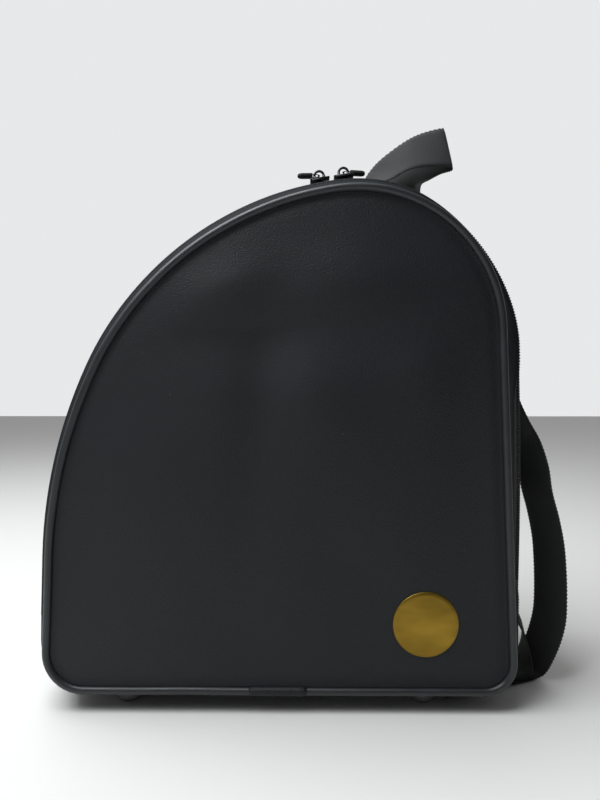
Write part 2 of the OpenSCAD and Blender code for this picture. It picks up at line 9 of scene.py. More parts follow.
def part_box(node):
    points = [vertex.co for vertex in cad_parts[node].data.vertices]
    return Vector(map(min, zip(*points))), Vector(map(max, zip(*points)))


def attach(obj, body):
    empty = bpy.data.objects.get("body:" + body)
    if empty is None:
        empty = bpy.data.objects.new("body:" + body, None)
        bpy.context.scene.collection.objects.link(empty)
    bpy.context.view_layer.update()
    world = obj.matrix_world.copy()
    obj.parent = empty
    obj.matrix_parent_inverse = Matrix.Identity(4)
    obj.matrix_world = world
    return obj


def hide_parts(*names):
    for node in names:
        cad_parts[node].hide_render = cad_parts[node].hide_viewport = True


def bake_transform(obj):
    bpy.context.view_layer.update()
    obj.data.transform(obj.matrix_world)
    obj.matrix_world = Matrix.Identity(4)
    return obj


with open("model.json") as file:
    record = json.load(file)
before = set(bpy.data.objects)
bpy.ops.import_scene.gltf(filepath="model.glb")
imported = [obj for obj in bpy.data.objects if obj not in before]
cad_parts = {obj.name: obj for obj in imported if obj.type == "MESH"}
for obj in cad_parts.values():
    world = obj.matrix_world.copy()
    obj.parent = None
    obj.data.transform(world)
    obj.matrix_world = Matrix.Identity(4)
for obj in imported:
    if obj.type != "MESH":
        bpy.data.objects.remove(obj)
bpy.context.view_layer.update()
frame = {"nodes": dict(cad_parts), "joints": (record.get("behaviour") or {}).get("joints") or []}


# Studio: a pale floor under the feet, a soft light from the upper left, a broad one overhead, and a
# pale room that is brightest behind the bag. The camera is about level with the middle of the bag
# and half a metre in front of it.
joints = {joint["name"]: joint for joint in frame["joints"]}
toe_joint = joints["toe_slider_travel"]["pos_m"]
toe_arc_x = 0.082
bag_zero_x = toe_joint[0] - toe_arc_x
camera_place = Vector((bag_zero_x + 0.020, -0.578, 0.265))
camera_turn = (math.radians(90 - 0.76), 0, math.radians(0.57))
camera_lens = 27.05
camera_sensor = 36
camera_near = 0.01
floor_half = 6.0
floor_colour = (0.80, 0.79, 0.77)
floor_roughness = 0.6
key_place = Vector((-0.80, -0.75, 1.25))
key_size = 0.7
key_power = 4
key_colour = (0.93, 0.97, 1.0)
top_place = Vector((-0.70, -0.24, 1.78))
top_size = 1.4
top_power = 43
top_colour = (0.95, 0.985, 1.0)
aim = Vector((0, 0, 0.22))
room_colour = (0.98, 0.99, 1.0, 1)
room_left = 0.15
room_right = 0.03
room_back = 0.82
# Parts of a direction to the side and to the back over which the room's brightness changes
room_sideways = (-0.7, 0.7)
room_backwards = (-0.05, 0.90)


def new_piece(name, bm, *materials):
    """A smooth mesh object made from a bmesh."""
    for face in bm.faces:
        face.smooth = True
    mesh = bpy.data.meshes.new(name)
    bm.to_mesh(mesh)
    bm.free()
    for material in materials:
        mesh.materials.append(material)
    piece = bpy.data.objects.new(name, mesh)
    bpy.context.scene.collection.objects.link(piece)
    return piece


def shader(name, colour, roughness, sockets=None):
    """A material, its node tree and its shader, with the plain values set on the shader."""
    material = bpy.data.materials.new(name)
    material.use_nodes = True
    surface = material.node_tree.nodes["Principled BSDF"]
    surface.inputs["Base Color"].default_value = (*colour, 1)
    surface.inputs["Roughness"].default_value = roughness
    for socket, value in (sockets or {}).items():
        surface.inputs[socket].default_value = value
    return material, material.node_tree, surface


def add(tree, kind, sockets=None, **settings):
    """A node with its settings, whose sockets are linked or set to plain values."""
    made = tree.nodes.new("ShaderNode" + kind)
    for name, value in settings.items():
        setattr(made, name, value)
    for name, value in (sockets or {}).items():
        if isinstance(value, bpy.types.NodeSocket):
            tree.links.new(value, made.inputs[name])
        else:
            made.inputs[name].default_value = value
    return made


def carried(tree, value, low, high, start, end, **settings):
    """A value between low and high, carried over to the range from start to end."""
    return add(tree, "MapRange", {0: value, 1: low, 2: high, 3: start, 4: end}, **settings).outputs[0]


def soft_light(name, place, size, power, colour):
    """A square area light aimed at the bag."""
    lamp = bpy.data.lights.new(name, "AREA")
    lamp.size = size
    lamp.energy = power
    lamp.color = colour
    light = bpy.data.objects.new(name, lamp)
    light.location = place
    light.rotation_euler = (aim - place).to_track_quat("-Z", "Y").to_euler()
    bpy.context.scene.collection.objects.link(light)


floor_mesh = bmesh.new()
bmesh.ops.create_grid(floor_mesh, x_segments=1, y_segments=1, size=floor_half)
floor = new_piece("floor", floor_mesh, shader("pale_floor", floor_colour, floor_roughness)[0])
soft_light("key", key_place, key_size, key_power, key_colour)
soft_light("overhead", top_place, top_size, top_power, top_colour)
world = bpy.data.worlds.new("pale_room")
world.use_nodes = True
room = world.node_tree
facing = add(room, "SeparateXYZ", {0: add(room, "TexCoord").outputs["Generated"]}).outputs
front = carried(room, facing["X"], *room_sideways, room_left, room_right, interpolation_type="SMOOTHSTEP")
glow = carried(room, facing["Y"], *room_backwards, front, room_back, interpolation_type="SMOOTHSTEP")
seen = add(room, "LightPath").outputs["Is Camera Ray"]
backdrop = add(room, "Mix", {0: seen, 2: glow, 3: room_back})
room.links.new(backdrop.outputs[0], room.nodes["Background"].inputs["Strength"])
room.nodes["Background"].inputs["Color"].default_value = room_colour
bpy.context.scene.world = world
bpy.context.scene.view_settings.view_transform = "Standard"
lens = bpy.data.cameras.new("camera")
lens.lens = camera_lens
lens.sensor_width = camera_sensor
lens.clip_start = camera_near
camera = bpy.data.objects.new("camera", lens)
camera.location = camera_place
camera.rotation_euler = camera_turn
bpy.context.scene.collection.objects.link(camera)
bpy.context.scene.camera = camera


# Back panel: coated cloth over a sheet of foam, lined inside, cut to a boot-shaped outline and sewn
# in along the welt. The foam keeps it upright and the sewn edge draws it in, so its middle stands
# proud. The sides of the bag follow the same outline, which grows from the welt to the zip.
toe_c = Vector((toe_joint[0], toe_joint[2]))
y_zip = toe_joint[1]
y_front = joints["flap_hinge"]["pos_m"][1]
y_back = -y_front
seam_z = joints["flap_hinge"]["pos_m"][2]
toe_arc_r = 0.262
side_arc_r = 0.400
top_arc_r = 0.119
join_angle = math.radians(98)
side_angle = math.radians(155)
toe_lean = math.radians(2)
zip_lean = math.radians(1.5)
heel_lean = math.radians(2)
toe_corner_r = 0.031
heel_corner_r = 0.024
zip_growth = 0.014
heel_spread = 1.4
base_sag = 0.005
zip_end_z = 0.074
corner_gap = 0.0003
bag_mid_z = 0.212
stretch_steps = {"corner": 10, "heel_wall": 14, "top": 40, "toe": 34, "side": 14, "toe_wall": 4,
                 "base": 36, "corner_wall": 8}
welt_r = 0.003
crown = 0.007
pad_t = 0.0062
panel_mid = Vector((bag_zero_x, bag_mid_z))
panel_rise = 0.0010
# Inset from the welt and rise above its centre line of the drawn-in edge of the panel
panel_edge = [(0.0032, -0.0034), (0.0026, -0.0018), (0.0028, 0.0001), (0.0042, -0.0002),
              (0.0062, -0.0003), (0.0088, 0.0001), (0.0125, 0.0009)]
ring_count = 24
first_ring = 0.97
ring_span = 0.93
panel_rings = [first_ring - ring_span * i / ring_count for i in range(ring_count + 1)]
edge_hold = 6
lining_facing = -0.3
back_slack = 0.0012
back_slack_scale = 9
back_slack_place = 4.0
cloth_colour = (0.0082, 0.0104, 0.0128)
lining_colour = (0.010, 0.010, 0.011)
lint_colour = (0.30, 0.30, 0.29, 1)


def way(angle):
    """The direction at an angle in the plane of the panel."""
    return Vector((math.cos(angle), math.sin(angle)))


side_c = toe_c - (side_arc_r - toe_arc_r) * way(side_angle)


def share(g):
    """How far a growth has come from the welt's to the zip's."""
    return min(1, max(0, g / zip_growth))


def top_r(g):
    return top_arc_r + heel_spread * g


def top_c(g):
    return toe_c + (toe_arc_r + g - top_r(g)) * way(join_angle)


def toe_tilt(g):
    return toe_lean + (zip_lean - toe_lean) * share(g)


def heel_tilt(g):
    return heel_lean * (1 - share(g))


def floor_z(g, lift):
    return seam_z - base_sag * share(g) - lift


def heel_x(g, lift, z):
    """Where the heel's wall stands at a height."""
    a = heel_tilt(g)
    return (way(a).dot(top_c(g)) + top_r(g) + lift - math.sin(a) * z) / math.cos(a)


def toe_x(g, lift, z):
    """Where the toe's wall stands at a height."""
    a = toe_tilt(g)
    line = way(math.pi - a).dot(side_c) + side_arc_r + g + lift
    return (math.sin(a) * z - line) / math.cos(a)


def corner(g, radius, edge):
    """Centre of a bottom corner, and its radius, from the side it rounds off."""
    r = radius + g / 2
    z = floor_z(g, 0) + r
    return Vector((edge(g, 0, z) + (-r if edge is heel_x else r), z)), r


def arc(centre, r, a, b, steps):
    return [centre + r * way(a + (b - a) * i / steps) for i in range(steps + 1)]


def between(edge, g, lift, low, high, steps):
    """Points of a wall between two heights, without its ends."""
    heights = [low + (high - low) * i / steps for i in range(1, steps)]
    return [Vector((edge(g, lift, z), z)) for z in heights]


def outline(kind, g, lift):
    """Points (x, z) of one run of the outline, grown by g and moved out by lift. The whole loop is
    three arcs, two leaning walls, two corners and the base."""
    n = stretch_steps
    heel_c, heel_r = corner(g, heel_corner_r, heel_x)
    toe_corner_c, toe_r = corner(g, toe_corner_r, toe_x)
    a, b = heel_tilt(g), math.pi - toe_tilt(g)
    heel_bend = arc(heel_c, heel_r + lift, -math.pi / 2, a, n["corner"])
    toe_bend = arc(toe_corner_c, toe_r + lift, b, 1.5 * math.pi, n["corner"])
    top = arc(top_c(g), top_r(g) + lift, a, join_angle, n["top"])
    toe = arc(toe_c, toe_arc_r + g + lift, join_angle, side_angle, n["toe"])[1:]
    toe += arc(side_c, side_arc_r + g + lift, side_angle, b, n["side"])[1:]
    heel_end = Vector((heel_x(g, lift, zip_end_z), zip_end_z))
    toe_end = Vector((toe_x(g, lift, zip_end_z), zip_end_z))
    heel_wall = between(heel_x, g, lift, zip_end_z, top[0].y, n["heel_wall"])
    toe_wall = between(toe_x, g, lift, toe[-1].y, zip_end_z, n["toe_wall"])
    arch = [heel_end, *heel_wall, *top, *toe, *toe_wall, toe_end]
    if kind == "arch":
        return arch
    low = zip_end_z - corner_gap
    if kind == "heel":
        wall = between(heel_x, g, lift, heel_bend[-1].y, low, n["corner_wall"])
        return [*heel_bend, *wall, Vector((heel_x(g, lift, low), low))]
    if kind == "toe":
        wall = between(toe_x, g, lift, low, toe_bend[0].y, n["corner_wall"])
        return [Vector((toe_x(g, lift, low), low)), *wall, *toe_bend]
    sides = [*heel_bend, *arch, *toe_bend]
    steps = n["base"]
    base = [toe_bend[-1].lerp(heel_bend[0], i / steps) for i in range(steps + 1)]
    return {"sides": sides, "base": base, "loop": sides + base[1:-1]}[kind]


def run(kind, g, lift, y, *moves):
    """Points of one run of the outline at the depth y, each moved in turn by the moves."""
    points = [Vector((p.x, y, p.y)) for p in outline(kind, g, lift)]
    for move in moves:
        points = [move(p) for p in points]
    return points


def skin(bm, lines, closed=False, around=False, widths=None):
    """A surface through lines of points: the first is drawn and extruded to each of the others.
    The lengths along and across it are kept for the weave."""
    spot = bm.verts.layers.int.new("spot")
    along = bm.verts.layers.float.new("along")
    across = bm.verts.layers.float.new("across")
    verts = [bm.verts.new(p) for p in lines[0]]
    length = 0.0
    for i, vert in enumerate(verts):
        length += (vert.co - verts[max(0, i - 1)].co).length
        vert[spot] = i
        vert[along] = length
        vert[across] = widths[0] if widths else 0.0
    following = verts[1:] + verts[:1] if closed else verts[1:]
    edges = [bm.edges.new(pair) for pair in zip(verts, following)]
    width = 0.0
    order = [*range(1, len(lines)), 0] if around else range(1, len(lines))
    for i in order:
        width = widths[i] if widths else width + (lines[i][0] - lines[i - 1][0]).length
        made = bmesh.ops.extrude_edge_only(bm, edges=edges)["geom"]
        moved = {item for item in made if isinstance(item, bmesh.types.BMVert)}
        for vert in moved:
            vert.co = lines[i][vert[spot]]
            vert[across] = width
        made_edges = [item for item in made if isinstance(item, bmesh.types.BMEdge)]
        edges = [edge for edge in made_edges if moved.issuperset(edge.verts)]
    bm.verts.layers.int.remove(spot)
    if around:
        bmesh.ops.remove_doubles(bm, verts=bm.verts, dist=1e-7)


def close_ends(bm):
    """Fills the open ends of a skin and turns its faces outwards."""
    ends = bmesh.ops.holes_fill(bm, edges=[edge for edge in bm.edges if edge.is_boundary])["faces"]
    bmesh.ops.recalc_face_normals(bm, faces=bm.faces)
    return ends


def outward(bm):
    """Turns an open sheet's faces away from the middle of the bag."""
    bmesh.ops.recalc_face_normals(bm, faces=bm.faces)
    middle = Vector((bag_zero_x, 0, bag_mid_z))
    inward = [f for f in bm.faces if f.normal.dot(f.calc_center_median() - middle) < 0]
    if len(inward) > len(bm.faces) / 2:
        bmesh.ops.reverse_faces(bm, faces=bm.faces)


def group(name, inputs, outputs):
    """An empty shader node group with these named sockets, and its two end nodes."""
    tree = bpy.data.node_groups.new(name, "ShaderNodeTree")
    for label, kind, value in inputs:
        socket = tree.interface.new_socket(label, in_out="INPUT", socket_type="NodeSocket" + kind)
        socket.default_value = value
    for label, kind in outputs:
        tree.interface.new_socket(label, in_out="OUTPUT", socket_type="NodeSocket" + kind)
    return tree, tree.nodes.new("NodeGroupInput"), tree.nodes.new("NodeGroupOutput")


def place(tree, made_group, sockets):
    """A node group placed in a material."""
    return add(tree, "Group", sockets, node_tree=made_group)


def math_node(tree, operation, a, b=0.0, c=0.0):
    """The result of an operation on up to three values."""
    return add(tree, "Math", {0: a, 1: b, 2: c}, operation=operation).outputs[0]


def toned(tree, colour, scale):
    """A colour made lighter or darker."""
    return add(tree, "VectorMath", {0: colour, "Scale": scale}, operation="SCALE").outputs[0]


def bump(tree, surface, height, strength, distance):
    made = add(tree, "Bump", {"Height": height, "Strength": strength, "Distance": distance})
    tree.links.new(made.outputs["Normal"], surface.inputs["Normal"])


mottle, enter, leave = group(
    "mottle",
    [("Colour", "Color", (0.1, 0.1, 0.1, 1)), ("Scale", "Float", 9.0), ("Amount", "Float", 0.3)],
    [("Colour", "Color"), ("Value", "Float")],
)
where = add(mottle, "TexCoord").outputs["Object"]
patches = add(mottle, "TexNoise", {"Vector": where, "Scale": enter.outputs["Scale"], "Detail": 3.0})
centred = math_node(mottle, "SUBTRACT", patches.outputs["Fac"], 0.5)
scaled = math_node(mottle, "MULTIPLY_ADD", centred, enter.outputs["Amount"], 1.0)
mottle.links.new(toned(mottle, enter.outputs["Colour"], scaled), leave.inputs["Colour"])
mottle.links.new(patches.outputs["Fac"], leave.inputs["Value"])

pebble, enter, leave = group(
    "pebble_grain",
    [("Scale", "Float", 900.0), ("Fine", "Float", 0.35)],
    [("Height", "Float")],
)
where = add(pebble, "TexCoord").outputs["Object"]
cells = add(pebble, "TexVoronoi", {"Vector": where, "Scale": enter.outputs["Scale"]}, feature="SMOOTH_F1")
fine_scale = math_node(pebble, "MULTIPLY", enter.outputs["Scale"], 1.7)
fine = add(pebble, "TexNoise", {"Vector": where, "Scale": fine_scale, "Detail": 2.0})
rounded = math_node(pebble, "SUBTRACT", 1.0, cells.outputs["Distance"])
mixed = math_node(pebble, "MULTIPLY_ADD", fine.outputs["Fac"], enter.outputs["Fine"], rounded)
pebble.links.new(mixed, leave.inputs["Height"])

lint, enter, leave = group(
    "lint",
    [("Colour", "Color", (0.1, 0.1, 0.1, 1)), ("Amount", "Float", 0.5)],
    [("Colour", "Color")],
)
where = add(lint, "TexCoord").outputs["Object"]
specks = add(lint, "TexVoronoi", {"Vector": where, "Scale": 70.0, "Randomness": 1.0})
small = carried(lint, specks.outputs["Distance"], 0.035, 0.015, 0.0, 1.0)
strewn = add(lint, "TexNoise", {"Vector": where, "Scale": 14.0})
kept = carried(lint, strewn.outputs["Fac"], 0.56, 0.66, 0.0, 1.0)
shown = math_node(lint, "MULTIPLY", small, kept)
amount = math_node(lint, "MULTIPLY", shown, enter.outputs["Amount"])
dusted = add(lint, "Mix", {0: amount, 6: enter.outputs["Colour"], 7: lint_colour}, data_type="RGBA")
lint.links.new(dusted.outputs[2], leave.inputs["Colour"])


def finished(name, colour, roughness, tone, grain=None, gloss=None, dust=None, sockets=None):
    """A material that is uneven in tone (scale, amount). It may have a grain (scale, fineness, strength,
    depth), a range of roughness that follows the tone, and an amount of lint."""
    material, tree, surface = shader(name, colour, roughness, sockets)
    uneven = place(tree, mottle, {"Colour": (*colour, 1), "Scale": tone[0], "Amount": tone[1]})
    shade = uneven.outputs["Colour"]
    if dust:
        shade = place(tree, lint, {"Colour": shade, "Amount": dust}).outputs["Colour"]
    tree.links.new(shade, surface.inputs["Base Color"])
    if gloss:
        rough = carried(tree, uneven.outputs["Value"], 0.3, 0.7, *gloss)
        tree.links.new(rough, surface.inputs["Roughness"])
    if grain:
        scale, fineness, strength, depth = grain
        raised = place(tree, pebble, {"Scale": scale, "Fine": fineness})
        bump(tree, surface, raised.outputs["Height"], strength, depth)
    return material


def coated_cloth(name, roughness, gleam):
    """Matt coated cloth: a fine pebbled skin, faintly uneven in tone and gloss, with some lint."""
    return finished(name, cloth_colour, roughness, tone=(11.0, 0.5), grain=(950.0, 0.4, 0.8, 0.0004),
                    gloss=(roughness - 0.05, roughness + 0.06), dust=0.35,
                    sockets={"Specular IOR Level": gleam})


def lining_cloth():
    """Plain woven lining: fine threads both ways."""
    material, tree, surface = shader("lining", lining_colour, 0.8, {"Specular IOR Level": 0.25})
    where = add(tree, "TexCoord").outputs["Object"]
    threads = [add(tree, "TexWave", {"Vector": where, "Scale": 420.0, "Distortion": 0.6}, bands_direction=d)
               for d in ("X", "Z")]
    woven = math_node(tree, "MULTIPLY", threads[0].outputs["Fac"], threads[1].outputs["Fac"])
    tone = place(tree, mottle, {"Colour": (*lining_colour, 1), "Scale": 20.0, "Amount": 0.4})
    tree.links.new(tone.outputs["Colour"], surface.inputs["Base Color"])
    bump(tree, surface, woven, 0.5, 0.0003)
    return material


def panel(name, y, side, dent, *materials):
    """A lined foam panel: drawn in at its sewn edge, swelling to its middle, lining inside."""
    bm = bmesh.new()
    edges = [outline("loop", 0, -inset) for inset, rise in panel_edge]

    def face(rim, s, sunk):
        p = panel_mid + s * (rim - panel_mid)
        proud = panel_rise + crown * (1 - s * s) + dent(p) * (1 - s ** edge_hold)
        return Vector((p.x, y + side * (proud - sunk), p.y))

    drawn_in = [[Vector((p.x, y + side * rise, p.y)) for p in edge]
                for edge, (inset, rise) in zip(edges, panel_edge)]
    outer = [[face(rim, s, 0) for rim in edges[-1]] for s in panel_rings]
    inner = [[face(rim, s, pad_t) for rim in edges[-1]] for s in (1, *panel_rings)]
    skin(bm, [*reversed(inner), *drawn_in, *outer], closed=True)
    bmesh.ops.poke(bm, faces=close_ends(bm))
    bmesh.ops.recalc_face_normals(bm, faces=bm.faces)
    for made in bm.faces:
        made.material_index = 1 if side * made.normal.y < lining_facing else 0
    piece = new_piece(name, bm, *materials)
    smooth = piece.modifiers.new("smooth", "SUBSURF")
    smooth.levels = smooth.render_levels = 1
    return piece


def back_dent(p):
    """The slight unevenness of the back panel."""
    spot = Vector((p.x * back_slack_scale, back_slack_place, p.y * back_slack_scale))
    return back_slack * noise.noise(spot)


cloth = coated_cloth("coated_cloth", 0.56, 0.34)
lining = lining_cloth()
back_panel = panel("back_panel_pad", y_back, 1, back_dent, cloth, lining)
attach(back_panel, "bag")
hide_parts("back_panel", "back_foam")


# Back welt: a plastic cord covered in smooth coated strip and sewn into the seam between the panel
# and the sides, all the way round. It is a little glossier than the cloth.
welt_sides = 14
welt_angles = [2 * math.pi * i / welt_sides for i in range(welt_sides)]
cord_r = welt_r * 1.1
cord_wander = 0.0004
cord_wave = 14
cord_wave_deep = 30
cord_seed = 1
welt_colour = (0.016, 0.018, 0.021)
piping = finished("piping", welt_colour, 0.42, tone=(45.0, 0.5), grain=(1300.0, 0.6, 0.2, 0.0003),
                  gloss=(0.36, 0.50), sockets={"Specular IOR Level": 0.5})


# Vector noise starts from the clock unless it is seeded, and the cord has to be the same on every run
noise.seed_set(cord_seed)


def wander(p):
    """The slight waviness of a sewn cord."""
    spot = Vector((p.x * cord_wave, p.y * cord_wave_deep, p.z * cord_wave))
    return p + cord_wander * noise.noise_vector(spot)


def welt(name, y, body, node):
    """A round cord carried round the outline."""
    bm = bmesh.new()
    lines = [run("loop", 0, cord_r * math.cos(a), y + cord_r * math.sin(a), wander) for a in welt_angles]
    skin(bm, lines, closed=True, around=True)
    bmesh.ops.recalc_face_normals(bm, faces=bm.faces)
    piece = new_piece(name, bm, piping)
    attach(piece, body)
    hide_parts(node)


welt("back_welt_cord", y_back, "bag", "back_welt")


# Back binding: a folded woven tape sewn over the raw edges of the seam inside the bag. It lies flat on
# the lining, all the way round the panel.
binding_in = 0.005
binding_out = 0.014
binding_t = 0.0015
foam_back = 0.0048
tape_colour = (0.012, 0.0125, 0.0135)

weave, enter, leave = group(
    "weave",
    [("Warp", "Float", 1400.0), ("Weft", "Float", 1000.0)],
    [("Height", "Float")],
)
length = add(weave, "Attribute", attribute_name="along").outputs["Fac"]
width = add(weave, "Attribute", attribute_name="across").outputs["Fac"]
weft_turn = math_node(weave, "MULTIPLY", length, enter.outputs["Weft"])
warp_turn = math_node(weave, "MULTIPLY", width, enter.outputs["Warp"])
weft_wave = math_node(weave, "SINE", weft_turn)
warp_wave = math_node(weave, "SINE", warp_turn)
crossed = math_node(weave, "MULTIPLY", weft_wave, warp_wave)
weave.links.new(math_node(weave, "MULTIPLY_ADD", crossed, 0.5, 0.5), leave.inputs["Height"])


def woven_tape(name, colour, roughness, warp, weft, depth):
    """Woven narrow cloth whose threads follow the length and width of the piece, with painted shade
    in the dips of the weave and painted light on its crowns.
    """
    soft_sockets = {"Specular IOR Level": 0.3, "Sheen Weight": 0.08}
    material, tree, surface = shader(name, colour, roughness, soft_sockets)
    threads = place(tree, weave, {"Warp": warp, "Weft": weft})
    tone = place(tree, mottle, {"Colour": (*colour, 1), "Scale": 60.0, "Amount": 0.45})
    # Painted shade and light: the colour is darker in the dips of the weave and lighter on the crowns of
    # its threads.
    painted_weave_light_and_shade = carried(tree, threads.outputs["Height"], 0.0, 1.0, 0.72, 1.16)
    tree.links.new(toned(tree, tone.outputs["Colour"], painted_weave_light_and_shade), surface.inputs["Base Color"])
    bump(tree, surface, threads.outputs["Height"], 0.8, depth)
    return material


binding_tape = woven_tape("binding_tape", tape_colour, 0.85, 5200.0, 5200.0, 0.0003)


def binding(name, y, side, body, node):
    """A flat tape with rounded edges, lying on the lining just inside the seam."""
    low, high = y - side * foam_back, y - side * (foam_back + binding_t)
    soft = binding_t * 0.4
    bm = bmesh.new()
    section = [
        (0, -binding_in, low), (0, -binding_out, low), (0, -binding_out - soft, (low + high) / 2),
        (0, -binding_out, high), (0, -(binding_in + binding_out) / 2, high - side * soft),
        (0, -binding_in, high), (0, -binding_in + soft, (low + high) / 2)]
    skin(bm, [run("loop", *point) for point in section], closed=True, around=True)
    bmesh.ops.recalc_face_normals(bm, faces=bm.faces)
    piece = new_piece(name, bm, binding_tape)
    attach(piece, body)
    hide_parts(node)


binding("back_binding_tape", y_back, 1, "bag", "back_binding")


# Rear gusset: one long strip of the coated cloth that makes the heel, the top and the toe behind
# the zip. It is hemmed along the zip and draws in to the back welt.
cloth_t = 0.0025
sheet_t = cloth_t - 0.0004
swell = 0.0015
swell_rise = 0.045
swell_end = 0.030
swell_fall = 0.033
tape_w = 0.0072
coil_gap = 0.0016
seat_gap = 0.0003
tape_back = y_zip + coil_gap / 2 + tape_w
tape_front = y_zip - coil_gap / 2 - tape_w
gusset_front = tape_back + seat_gap
gusset_depths = [0, 0.0012, 0.004, 0.010, 0.020, 0.033, 0.047, 0.062, 0.077, 0.092, 0.104, 0.1117, 0.117,
                 0.122, 0.126, 0.129, 0.1304]
shoulder = 0.022
shoulder_curve = 1.6
edge_growth = 0.0025
edge_back = welt_r + seat_gap
turn_in = (0.0030, 0.0065)
lip_depth = 0.0012
lip_back = 0.0002
slack = 0.0016
slack_wave = 13
slack_wave_deep = 16
sewn_margin = 0.02
heel_sink = 0.0055
sink_start = -2
sink_span = 76
sink_curve = 1.2
sink_front = 0.014
sink_back_y = -0.018
sink_fade = 0.030
heel_bow = 0.0018


def ease(t):
    """A smooth step from 0 to 1."""
    t = min(1, max(0, t))
    return t * t * (3 - 2 * t)


def gusset_growth(y):
    """How far the gusset stands out at a depth: a slight swell, then the draw-in to the welt."""
    turn = (y - (y_back - shoulder)) / (shoulder - edge_back)
    if turn > 0:
        return edge_growth + (zip_growth - edge_growth) * (1 - min(1, turn) ** shoulder_curve)
    rise = ease((y - gusset_front) / swell_rise) - ease((y - swell_end) / swell_fall)
    return zip_growth + swell * rise


def from_middle(p):
    """The way out from the middle of the bag, in the plane of the panel."""
    return Vector((p.x - panel_mid.x, 0, p.z - panel_mid.y)).normalized()


def sides_slack(amount):
    """Moves cloth in and out a little, by an amount between none and 1."""
    def move(p):
        spot = Vector((p.x * slack_wave, p.y * slack_wave_deep, p.z * slack_wave))
        return p + noise.noise(spot) * slack * amount * from_middle(p)
    return move


def settle(p):
    """Lets the zip line sink in round the shoulder of the heel and bow out down its wall."""
    centre = top_c(zip_growth)
    off = Vector((p.x - centre.x, p.z - centre.y))
    held = ease((p.y - y_front - edge_back) / sink_front) * ease((sink_back_y - p.y) / sink_fade)
    turn = (math.degrees(math.atan2(off.y, off.x)) - sink_start) / sink_span
    low = (p.z - zip_end_z) / (centre.y - zip_end_z)
    if 0 < turn < 1:
        out = off.normalized()
        sunk = heel_sink * held * math.sin(math.pi * turn) ** sink_curve
        return p - sunk * Vector((out.x, 0, out.y))
    if off.x > 0 and 0 < low < 1:
        return p + Vector((heel_bow * held * math.sin(math.pi * low), 0, 0))
    return p


def thicken(piece, thickness):
    """Gives a sheet of cloth its thickness inwards, with the second material inside."""
    wall = piece.modifiers.new("cloth", "SOLIDIFY")
    wall.thickness = thickness
    wall.offset = -1
    wall.material_offset = 1
    wall.use_even_offset = True
    return piece


bm = bmesh.new()
lines = [run("sides", zip_growth, -lip_depth, gusset_front + lip_back, settle)]
for depth in gusset_depths:
    y = gusset_front + depth
    loose = ease(depth / sewn_margin) * ease((gusset_depths[-1] - depth) / sewn_margin)
    lines.append(run("sides", gusset_growth(y), 0, y, sides_slack(loose), settle))
lines += [run("sides", edge_growth, -depth, y_back - edge_back) for depth in turn_in]
skin(bm, lines)
outward(bm)
side_cloth = coated_cloth("side_cloth", 0.74, 0.16)
gusset = thicken(new_piece("rear_gusset_cloth", bm, side_cloth, lining), sheet_t)
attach(gusset, "bag")
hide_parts("rear_gusset")


# Stitching: a row of lock stitches in heavy black thread holds each hem to the zip tape and each
# end of webbing to the cloth.
thread_colour = (0.016, 0.016, 0.017)
stitch_l = 0.0031
stitch_r = 0.00036
stitch_flat = 0.8
stitch_lift = stitch_r * 0.3
stitch_pitch = 0.0039
hem = 0.0026
gusset_first_stitch = 0.003
thread = finished("sewing_thread", thread_colour, 0.55, tone=(160.0, 0.6), grain=(2600.0, 0.5, 0.4, 0.0002),
                  sockets={"Specular IOR Level": 0.4})


def march(points, pitch, start=0.0):
    """Points and directions at even steps along a line of points."""
    left = start
    for a, b in zip(points, points[1:]):
        span = (b - a).length
        while left <= span:
            yield a.lerp(b, left / span), (b - a).normalized()
            left += pitch
        left -= span


def along_frame(point, along, out):
    """A matrix with X along a line, Z out of the surface and Y across."""
    across = out.cross(along).normalized()
    up = along.cross(across)
    return Matrix.Translation(point) @ Matrix((along, across, up)).transposed().to_4x4()


def strew(bm, small, matrices):
    """Copies of a small shape, one at each matrix."""
    shape = bpy.data.meshes.new("small_shape")
    small.to_mesh(shape)
    small.free()
    for matrix in matrices:
        shape.transform(matrix)
        bm.from_mesh(shape)
        shape.transform(matrix.inverted())
    bpy.data.meshes.remove(shape)


def sew(bm, places):
    """One rounded stitch at each (point, direction, outward) place."""
    stitch = bmesh.new()
    lying = Matrix.Rotation(math.pi / 2, 4, "Y")
    size = Matrix.Diagonal((stitch_l / 2, stitch_r, stitch_r * stitch_flat, 1))
    bmesh.ops.create_uvsphere(stitch, u_segments=6, v_segments=4, radius=1, matrix=size @ lying)
    strew(bm, stitch, [along_frame(*spot) for spot in places])


def arch_places(g, lift, y, pitch, start, *moves):
    """Places along the zip's arch: point, direction along it, and outwards."""
    for point, along in march(run("arch", g, lift, y, *moves), pitch, start):
        yield point, along, Vector((along.z, 0, -along.x))


bm = bmesh.new()
y = gusset_front + hem
sew(bm, arch_places(gusset_growth(y), stitch_lift, y, stitch_pitch, gusset_first_stitch, settle))
gusset_stitches = new_piece("gusset_stitches", bm, thread)
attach(gusset_stitches, "bag")


# Base panel: the coated cloth goes on under the bag, slack between its feet, with a stiff plastic
# board on top of it inside.
base_depths = [-0.0817, -0.080, -0.076, -0.071, -0.065, -0.055, -0.040, -0.020, 0, 0.020, 0.040, 0.055,
               0.063, 0.070, 0.076, 0.080, 0.0817]
base_flange_back = 0.0006
base_loose = 0.0008
base_wave = 15
base_wave_place = 7.0
base_sewn_y = 0.078
base_sewn_fade = 0.03
strip_curve = 1.15
board_colour = (0.045, 0.045, 0.048)


def front_growth(y):
    """How far the cloth in front of the zip stands out: up from the welt to the tape."""
    rise = (y - y_front - edge_back) / (tape_front - y_front - edge_back)
    return edge_growth + (zip_growth - edge_growth) * min(1, max(0, rise)) ** strip_curve


def base_growth(y):
    return front_growth(y) if y < gusset_front else gusset_growth(y)


